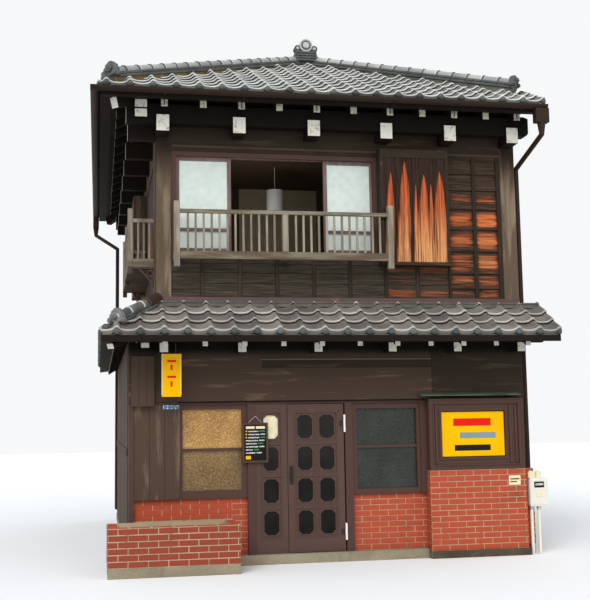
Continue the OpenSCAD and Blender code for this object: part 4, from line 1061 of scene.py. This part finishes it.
shop_left, wall_length = -0.41, 6.2
piece("shop_front_boards", [
    plank_wall((-0.35, 0.015, 0.77), right_way, 0.535, 1.092, 3, 201),
    plank_wall((-0.384, -0.06, 1.85), right_way, 0.269, 0.585, 3, 202),
    block((shop_left, -0.021, 1.902), (3.264, -0.013, 2.598), "band_boards", 0.002, 0.4),
    block((3.269, -0.021, 1.902), (4.46, -0.013, 2.598), "band_boards_right", 0.002, -0.4),
    block((1.16, -0.0225, 2.290), (3.264, -0.0205, 2.385), "frieze_boards", 0.0, -1.0),
    block((1.13, -0.036, 2.385), (3.262, -0.019, 2.402), "old_plank", 0.003, 0.5),
    block((1.13, -0.027, 2.278), (3.262, -0.019, 2.290), "black_boards_flat", 0.002, 0.6),
    # The thin near-black strip along the band's lower edge is painted shadow.
    block((0.160, -0.0195, 1.888), (3.183, -0.010, 1.902), "eave_timber_flat")])
piece("ground_wall_boards", [
    plank_wall((shop_left, 6.37, 0.11), front_way, wall_length, 2.49, 30, 203, 0.012),
    plank_wall((house_right, 0.17, 0.11), back_way, wall_length, 2.49, 30, 204, 0.012),
    plank_wall((house_right, 6.47, 0.11), left_way, 4.87, 2.49, 24, 205, 0.012),
    block((shop_left - 0.022, 0.17, 1.28), (shop_left, 6.37, 1.36), "black_boards_deep", 0.003),
    block((house_right, 0.17, 1.28), (house_right + 0.022, 6.37, 1.36), "black_boards_deep", 0.003),
    block((shop_left, 6.47, 1.28), (house_right, 6.492, 1.36), "black_boards_flat", 0.003)])

# %% [markdown]
# The upper storey
# The sides and the back have the same two kinds. The boards that face the street are drawn one by
# one, because each carries its bareness over its face: most in the middle of a clapboard, and in
# tall tongues on the shutter box.

# %% Boards of the upper storey
def warm_board(low, high, finish, bare_at, columns=10, rows=6, proud=0.0):
    """A board facing the street, its foot proud of its head, with its bareness given over its face."""
    work = bmesh.new()
    work.verts.layers.float.new("tone")
    bareness = work.verts.layers.float.new("bareness")
    grid = []
    for v in (j / rows for j in range(rows + 1)):
        grid.append([])
        for u in (i / columns for i in range(columns + 1)):
            grid[-1].append(work.verts.new((low[0] + u * (high[0] - low[0]), low[1] - proud * (1 - v),
                                            low[2] + v * (high[2] - low[2]))))
            grid[-1][-1][bareness] = bare_at(u, v)
    skin(work, grid, closed=False)
    rim = grid[0] + [row[-1] for row in grid[1:]] + grid[-1][-2::-1] + [row[0] for row in grid[-2:0:-1]]
    skin(work, [[work.verts.new((vert.co.x, high[1], vert.co.z)) for vert in rim], rim])
    outwards(work)
    return made(work, finish)


def warm_middle(most):
    return lambda u, v: most * (1 - 0.5 * abs(2 * u - 1) ** 5) * (4 * v * (1 - v)) ** 0.55


low_rows = (3.141, 3.31, 3.44, 3.55, 3.648)
panel_edges = [0.087] + half_lines[1:9]
low_wall = [warm_board((x0, 0.018, z0 + 0.002), (x1, 0.029, z1 - 0.002), "low_laps",
                       warm_middle(0.5 if k >= 6 and row < 3 else 0.12), proud=0.008)
            for k, (x0, x1) in enumerate(zip(panel_edges, panel_edges[1:]))
            for row, (z0, z1) in enumerate(zip(low_rows, low_rows[1:]))]
batten = block((-0.022, 0.001, 3.141), (0.022, 0.019, 3.648), "batten_wood", 0.002)
piece("upper_boards", [
    lap_wall((house_right, 0.17, 2.72), back_way, wall_length, 2.76, 4, 12, "black_boards_deep", 211),
    lap_wall((house_right, 6.47, 2.72), left_way, 4.545, 2.3, 3, 10, "black_boards_flat", 212),
    *(plank_wall((house_left, y, z), front_way, length, height, count, seed, 0.010)
      for y, z, length, height, count, seed in (
          (0.62, 3.06, 0.45, 1.975, 3, 213), (2.90, 3.06, 2.28, 0.585, 15, 214),
          (6.37, 3.06, 3.47, 0.47, 23, 215), (6.37, 3.53, 2.585, 1.505, 17, 216))),
    *(set_out(batten, 1, 1, (x, 0, 0), (0, 0, 0), seed=220 + k, finish="batten_wood")
      for k, x in enumerate(half_lines[1:8])),
    block((0.087, -0.016, 4.957), (4.263, 0.002, 4.990), "black_boards_flat", 0.003, 0.2),
    block((0.087, -0.010, 5.29), (4.263, 0.002, 5.40), "black_boards_flat", 0.003, -0.2)])
piece("low_front_boards", low_wall)
lap_rows = (3.14, 3.267, 3.457, 3.737, 4.019, 4.277, 4.522, 4.730, 4.955)
lap_warmth = ((0.42, 0.58), (0.60, 0.66), (0.62, 0.80), (0.66, 0.95), (0.76, 1.0), (0.44, 0.46), (0.15, 0.12),
              (0.05, 0.0))
piece("front_clapboards", [
    warm_board((x0, 0.018, z0), (x1, 0.024, z1 - 0.003), "warm_laps", warm_middle(warm), proud=0.020)
    for z0, z1, warmth in zip(lap_rows, lap_rows[1:], lap_warmth)
    for (x0, x1), warm in zip(((3.567, 3.879), (3.923, 4.202)), warmth)])
piece("clapboard_battens", [block((x0, -0.012, 3.14), (x1, 0.022, 4.955), "batten_wood", 0.003)
                            for x0, x1 in ((3.541, 3.567), (3.879, 3.923), (4.202, 4.262))])

# Each tongue of bare wood on the shutter box: its middle at the foot and at the tip, half its width, its tip
tongues = ((2.742, 2.780, 0.062, 4.72), (2.927, 2.960, 0.094, 4.86), (3.077, 3.098, 0.028, 4.56),
           (3.179, 3.203, 0.092, 4.68), (3.279, 3.296, 0.032, 4.60), (3.399, 3.408, 0.100, 4.72))
box_foot, box_head = 3.575, 4.88
box_edges = (2.652, 2.833, 3.047, 3.145, 3.325, 3.508)


def flames(x, z):
    barest = 0.0
    for foot, tip, half, top in tongues:
        t = (z - box_foot) / (top - box_foot)
        if t < 1:
            off = abs(x - foot - t * (tip - foot)) / (half * (1 - max(t, 0) ** 4))
            barest = max(barest, 1 - off ** 3 + 0.25 * (1 - t))
    return barest


piece("shutter_boards", [
    *(warm_board((x0 + 0.003, -0.144, box_foot), (x1 - 0.003, -0.129, box_head), "flame_boards",
                 lambda u, v: flames(x0 + u * (x1 - x0), box_foot + v * (box_head - box_foot)), 16, 60)
      for x0, x1 in zip(box_edges, box_edges[1:])),
    block((2.655, -0.152, 4.88), (3.505, -0.130, 4.985), "frieze_boards", 0.003, -1.0),
    plank_wall((house_left - 0.17, 3.785, 3.54), front_way, 0.88, 1.445, 6, 242, 0.008, "shutter_bare"),
    plank_wall((house_left + 0.025, 2.90, 3.655), front_way, 2.28, 1.26, 15, 243, 0.008, "shutter_bare")])

# %% [markdown]
# The railing of the front balcony
# Two end posts run past both rails, the middle post stands between them, and square balusters
# fill the gaps. Each baluster is a copy by the repeating tree, shifted by a hair, as old ones are.
# The piece takes the place of the plainer solid.

# %% Front railing
rail_y, rail_half, top_rail, low_rail = -0.185, 0.025, (4.120, 4.165), (3.572, 3.665)
post_half, post_wide, bay_posts = 0.035, 0.070, (0.103, 1.400, 2.705)
bays = ((bay_posts[0] + post_wide, bay_posts[1]), (bay_posts[1] + post_wide, bay_posts[2]))
baluster = block((-0.0125, -0.0125, low_rail[1]), (0.0125, 0.0125, top_rail[0]), "baluster_wood", 0.002)
railing = [block((x, rail_y - post_half, foot), (x + post_wide, rail_y + post_half, head), "baluster_wood", 0.005)
           for x, foot, head in ((bay_posts[0], 3.476, 4.259), (bay_posts[2], 3.476, 4.259),
                                 (bay_posts[1], low_rail[1], top_rail[0]))]
railing += [block((bays[0][0], rail_y - rail_half, foot), (bays[1][1], rail_y + rail_half, head), finish, 0.004)
            for (foot, head), finish in ((top_rail, "rail_wood"), (low_rail, "low_rail_wood"))]
for k, (start, end) in enumerate(bays):
    gaps = int((end - start) / 0.091)
    step = (end - start) / gaps
    railing.append(set_out(baluster, gaps - 1, 1, (start + step, rail_y, 0), (step, 0, 0),
                           wobble=(0.0015, 0.001, 0), seed=250 + k, finish="baluster_wood"))
railing += [block((x, rail_y + post_half, low_rail[0]), (x + post_wide, 0.025, 3.650), "low_rail_wood", 0.003)
            for x in bay_posts[:2]]
front_railing = piece("front_railing", railing)
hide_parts("balcony")

# %% [markdown]
# Finishes for the solids themselves
# Solids whose shape is already right keep it and only take a finish. Some of them carry more than
# one material, so their finishes mix by height or by place: the balusters are paler than the rails,
# and the top light of the narrow leaf is cream where the others are dark.

# %% A finish for each solid
for row in (("amber_light", "amber_low", "amber_pane", "Z", 1.338, 1.345),
            ("side_light", "door_pane", "cream_pane", "Z", 1.40, 1.41),
            ("stained_base", "concrete", "wet_ledge", "X", 3.14, 3.18),
            ("rail_mix", "rail_wood", "baluster_wood", "Z", 3.664, 3.668),
            ("post_mix", "post_wood", "shaded_post", "Z", 4.40, 5.05),
            ("planter_mix", "concrete", "mortar", "Z", 0.108, 0.110),
            ("sash_finish", "brown_paint", "sash_wood", "Y", 0.054, 0.056),
            ("side_rail", "black_boards", "rail_mix", "Z", 3.565, 3.569),
            ("pin_side", "hinge_paint", "brown_paint", "X", 2.169, 2.170),
            ("hung_box", "yellow_panel", "iron", "Z", 2.4465, 2.447),
            ("hinge_side", "iron", "hinge_paint", "X", 2.142, 2.143)):
    mixed(*row)
solid_finish = {
    "stained_base": "foundation", "mortar": "brick_dado bay_plinth", "planter_mix": "planter",
    "earth": "planter_soil", "brown_paint": "ground_posts window_1_frame window_2_frame bay_frame",
    "black_boards": "front_boards ground_left_wall ground_right_wall ground_back_wall upper_left_wall "
                    "side_shutters",
    "black_boards_flat": "front_low_wall upper_back_wall", "black_boards_deep": "upper_right_wall",
    "band_boards": "front_band", "frieze_boards": "clapboard_wall frieze shutter_box",
    "amber_light": "window_1_glass", "dark_pane": "window_2_glass", "door_paint": "side_leaf door_leaf",
    "side_light": "side_leaf_glass", "door_pane": "door_glass", "hinge_side": "door_hardware",
    "pin_side": "hinge_pins", "yellow_panel": "bay_panel", "canopy_sheet": "bay_canopy",
    "room_wood": "upper_floor ceiling", "post_mix": "upper_posts", "sash_finish": "sashes",
    "frosted_pane": "sash_glass", "side_rail": "side_balcony", "eave_timber": "eave_arms rafters",
    "eave_timber_flat": "purlins", "gutter_sheet": "gutters", "hung_box": "light_box", "slate": "menu_board",
    "plaster": "inner_wall", "shade_paper": "pendant_lamp", "meter_paint": "gas_meter",
}
for finish, titles in solid_finish.items():
    for title in titles.split():
        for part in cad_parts[title].material_slots:
            part.material = looks[finish]
print("finished solids:", sum(len(titles.split()) for titles in solid_finish.values()))

# %% [markdown]
# Mouldings of the door and of the display bay
# Each octagonal light sits in a sunk panel with a bead round it and a raised rim round the glass.
# One light's mouldings are drawn once and set out in rows on each leaf. They ride on their leaf.

# %% Beads and rims
def ring(outer, inner, front, back, finish):
    """A closed band between two outlines in X and Z with the same number of corners."""
    work = bmesh.new()
    loops = [[work.verts.new((x, y, z)) for x, z in outline] for outline, y in
             ((outer, front), (inner, front), (inner, back), (outer, back))]
    skin(work, loops + loops[:1])
    outwards(work)
    return made(work, finish)


def octagon(grow):
    w, h, c = 0.089 + grow, 0.138 + grow, 0.042
    return [(-w, -h + c), (-w + c, -h), (w - c, -h), (w, -h + c), (w, h - c), (w - c, h), (-w + c, h), (-w, h - c)]


bead = ring(rectangle(-0.129, 0.129, -0.174, 0.174), rectangle(-0.117, 0.117, -0.162, 0.162), 0.004, 0.013,
            "door_paint")
rim = ring(octagon(0.013), octagon(0.0), 0.0105, 0.018, "door_paint")
for name, body, columns, first in (("door_mouldings", "door", 2, 1.671), ("side_leaf_mouldings", "root", 1, 1.259)):
    piece(name, [set_out(shape, columns, 4, (first, 0, 0.463), (0.268, 0, 0), (0, 0, 0.3753), seed=301,
                         finish="door_paint") for shape in (bead, rim)], body)

bay_face = -0.112
piece("bay_mouldings", [
    *(ring(rectangle(*outer), rectangle(*inner), bay_face - proud, bay_face + sunk, "brown_paint")
      for outer, inner, proud, sunk in (
          ((3.190, 4.390, 1.042, 1.893), (3.206, 4.374, 1.060, 1.877), 0.006, 0.002),
          ((3.236, 4.344, 1.088, 1.847), (3.250, 4.330, 1.102, 1.833), 0.010, 0.010),
          ((3.316, 4.186, 1.162, 1.771), (3.340, 4.162, 1.186, 1.747), 0.002, 0.014))),
    *(block((x, bay_face - 0.006, 1.110), (x + 0.026, bay_face + 0.014, 1.825), "brown_paint", 0.002, 0.4)
      for x in (3.262, 4.214, 4.284))])

# %% [markdown]
# Signs and small fittings
# The signs carry plain bars of colour where lettering would be. The menu hangs on a white string.

# %% Signs, plates and the meter
def stick(start, end, radius, finish, sides=8):
    """A round bar from one point to another."""
    along = Vector(end) - Vector(start)
    mesh = prism(disc(0, 0, radius, sides), along.length, finish)
    mesh.transform(Matrix.Translation(start) @ along.to_track_quat("Y", "Z").to_matrix().to_4x4())
    return mesh


def bars(front, back, bevel, rows):
    """Thin bars on a sign: each row is its span in X, its span in Z and its finish."""
    return [block((x0, front, z0), (x1, back, z1), finish, bevel) for x0, x1, z0, z1, finish in rows]


piece("bay_panel_bars", bars(-0.0945, -0.0915, 0.001, (
    (3.50, 3.98, 1.565, 1.655, "sign_red"), (3.58, 4.04, 1.415, 1.485, "sign_grey"),
    (3.51, 3.97, 1.265, 1.335, "sign_black"))))
piece("light_box_trim", bars(-0.271, -0.267, 0.001, (
    (0.02, 0.12, 2.35, 2.375, "sign_red"), (0.055, 0.08, 2.26, 2.32, "sign_red"),
    (0.02, 0.12, 2.17, 2.195, "sign_red"), (0.055, 0.08, 2.07, 2.13, "sign_red"))) + bars(-0.2705, -0.176, 0.001, (
        (-0.043, -0.036, 1.975, 2.449, "cream_plate"), (0.173, 0.180, 1.975, 2.449, "cream_plate"))))

lines = [(0.957, 1.060, 1.572, 1.602, "cream_plate"), (1.076, 1.184, 1.572, 1.602, "cream_plate")]
wander = random.Random(5)
for row in range(8):
    z = 1.535 - 0.036 * row
    start = 0.985 if row < 3 else 0.955
    stop = start + wander.uniform(0.08, 0.15)
    lines += [(start, stop, z, z + 0.013, "chalk"),
              (stop + 0.012, min(stop + 0.075, 1.185), z + 0.002, z + 0.016, "chalk" if row % 2 else "board_green")]
    # The yellow marks take the sign's lit finish, so they glow faintly though nothing lights them: painted glow.
    if row < 3:
        lines.append((0.953, 0.970, z, z + 0.016, "yellow_panel"))
lines.append((0.953, 1.012, 1.216, 1.256, "yellow_panel"))
piece("menu_writing", [
    ring(rectangle(0.912, 1.220, 1.177, 1.644), rectangle(0.936, 1.196, 1.201, 1.620), -0.031, -0.010, "brown_paint"),
    *bars(-0.0245, -0.0215, 0.0, lines),
    *(stick((x, -0.012, 1.640), (1.070, -0.012, 1.722), 0.0022, "chalk") for x in (0.985, 1.150))])
piece("wall_plates", [
    block((-0.014, -0.002, 1.817), (0.172, 0.008, 1.862), "blue_plate", 0.001),
    block((4.178, -0.122, 0.839), (4.330, -0.110, 0.953), "cream_plate", 0.002),
    *bars(-0.1235, -0.1215, 0.0, ((4.196, 4.312, 0.905, 0.919, "sign_black"),
                                  (4.196, 4.280, 0.873, 0.885, "sign_black")))])
piece("meter_details", [
    block((4.446, -0.131, 0.571), (4.684, -0.016, 0.919), "meter_paint", 0.024),
    block((4.500, -0.137, 0.800), (4.628, -0.128, 0.872), "slate", 0.004),
    block((4.512, -0.140, 0.826), (4.616, -0.136, 0.852), "chalk", 0.002),
    block((4.520, -0.136, 0.690), (4.606, -0.129, 0.740), "cream_plate", 0.004),
    block((4.484, -0.134, 0.762), (4.646, -0.126, 0.772), "meter_paint", 0.003),
    *(stick((x, -0.085, foot), (x + lean, -0.085, head), radius, finish, 16) for x in (4.474, 4.568)
      for foot, head, lean, radius, finish in (
          (0.915, 0.985, 0, 0.036, "cream_plate"), (0.955, 1.000, 0.012, 0.026, "cream_plate"),
          (0.540, 0.572, 0, 0.028, "steel")))])

# %% [markdown]
# Posts in the room, hooks that carry the gutter, and a quiet light in the room above the shop
# Two dark posts stand at the back of the room and show through the open window.
# Each second rafter holds an iron hook that drops from the gutter's lip and turns under it.

# %% Posts of the room, gutter hooks and the room's light
piece("room_posts", [block((x0, 2.575, 2.725), (x1, 2.600, 5.058), "black_boards", 0.003)
                     for x0, x1 in ((1.100, 1.253), (2.418, 2.540))])
hooks, foot = [], rafter_z[1]
for at in (x - 0.020 for x in half_lines[0:11:2]):
    hooks += [stick((at, front_y - 0.004, 5.478), (at, front_y + 0.128, foot - 0.020), 0.005, "iron"),
              stick((at, front_y + 0.126, foot + 0.01), (at, front_y + 0.126, foot - 0.07), 0.006, "iron"),
              block((at - 0.010, front_y - 0.113, 5.420), (at + 0.010, front_y + 0.001, 5.4255), "iron", 0.001)]
piece("gutter_hooks", hooks)

room_lamp = bpy.data.lights.new("room_lamp", "POINT")
room_lamp.energy, room_lamp.shadow_soft_size = 9, 0.3
show("room_lamp", room_lamp).location = (1.1, 0.75, 4.1)
print("hooks:", len(hooks) // 3)

# %% [markdown]
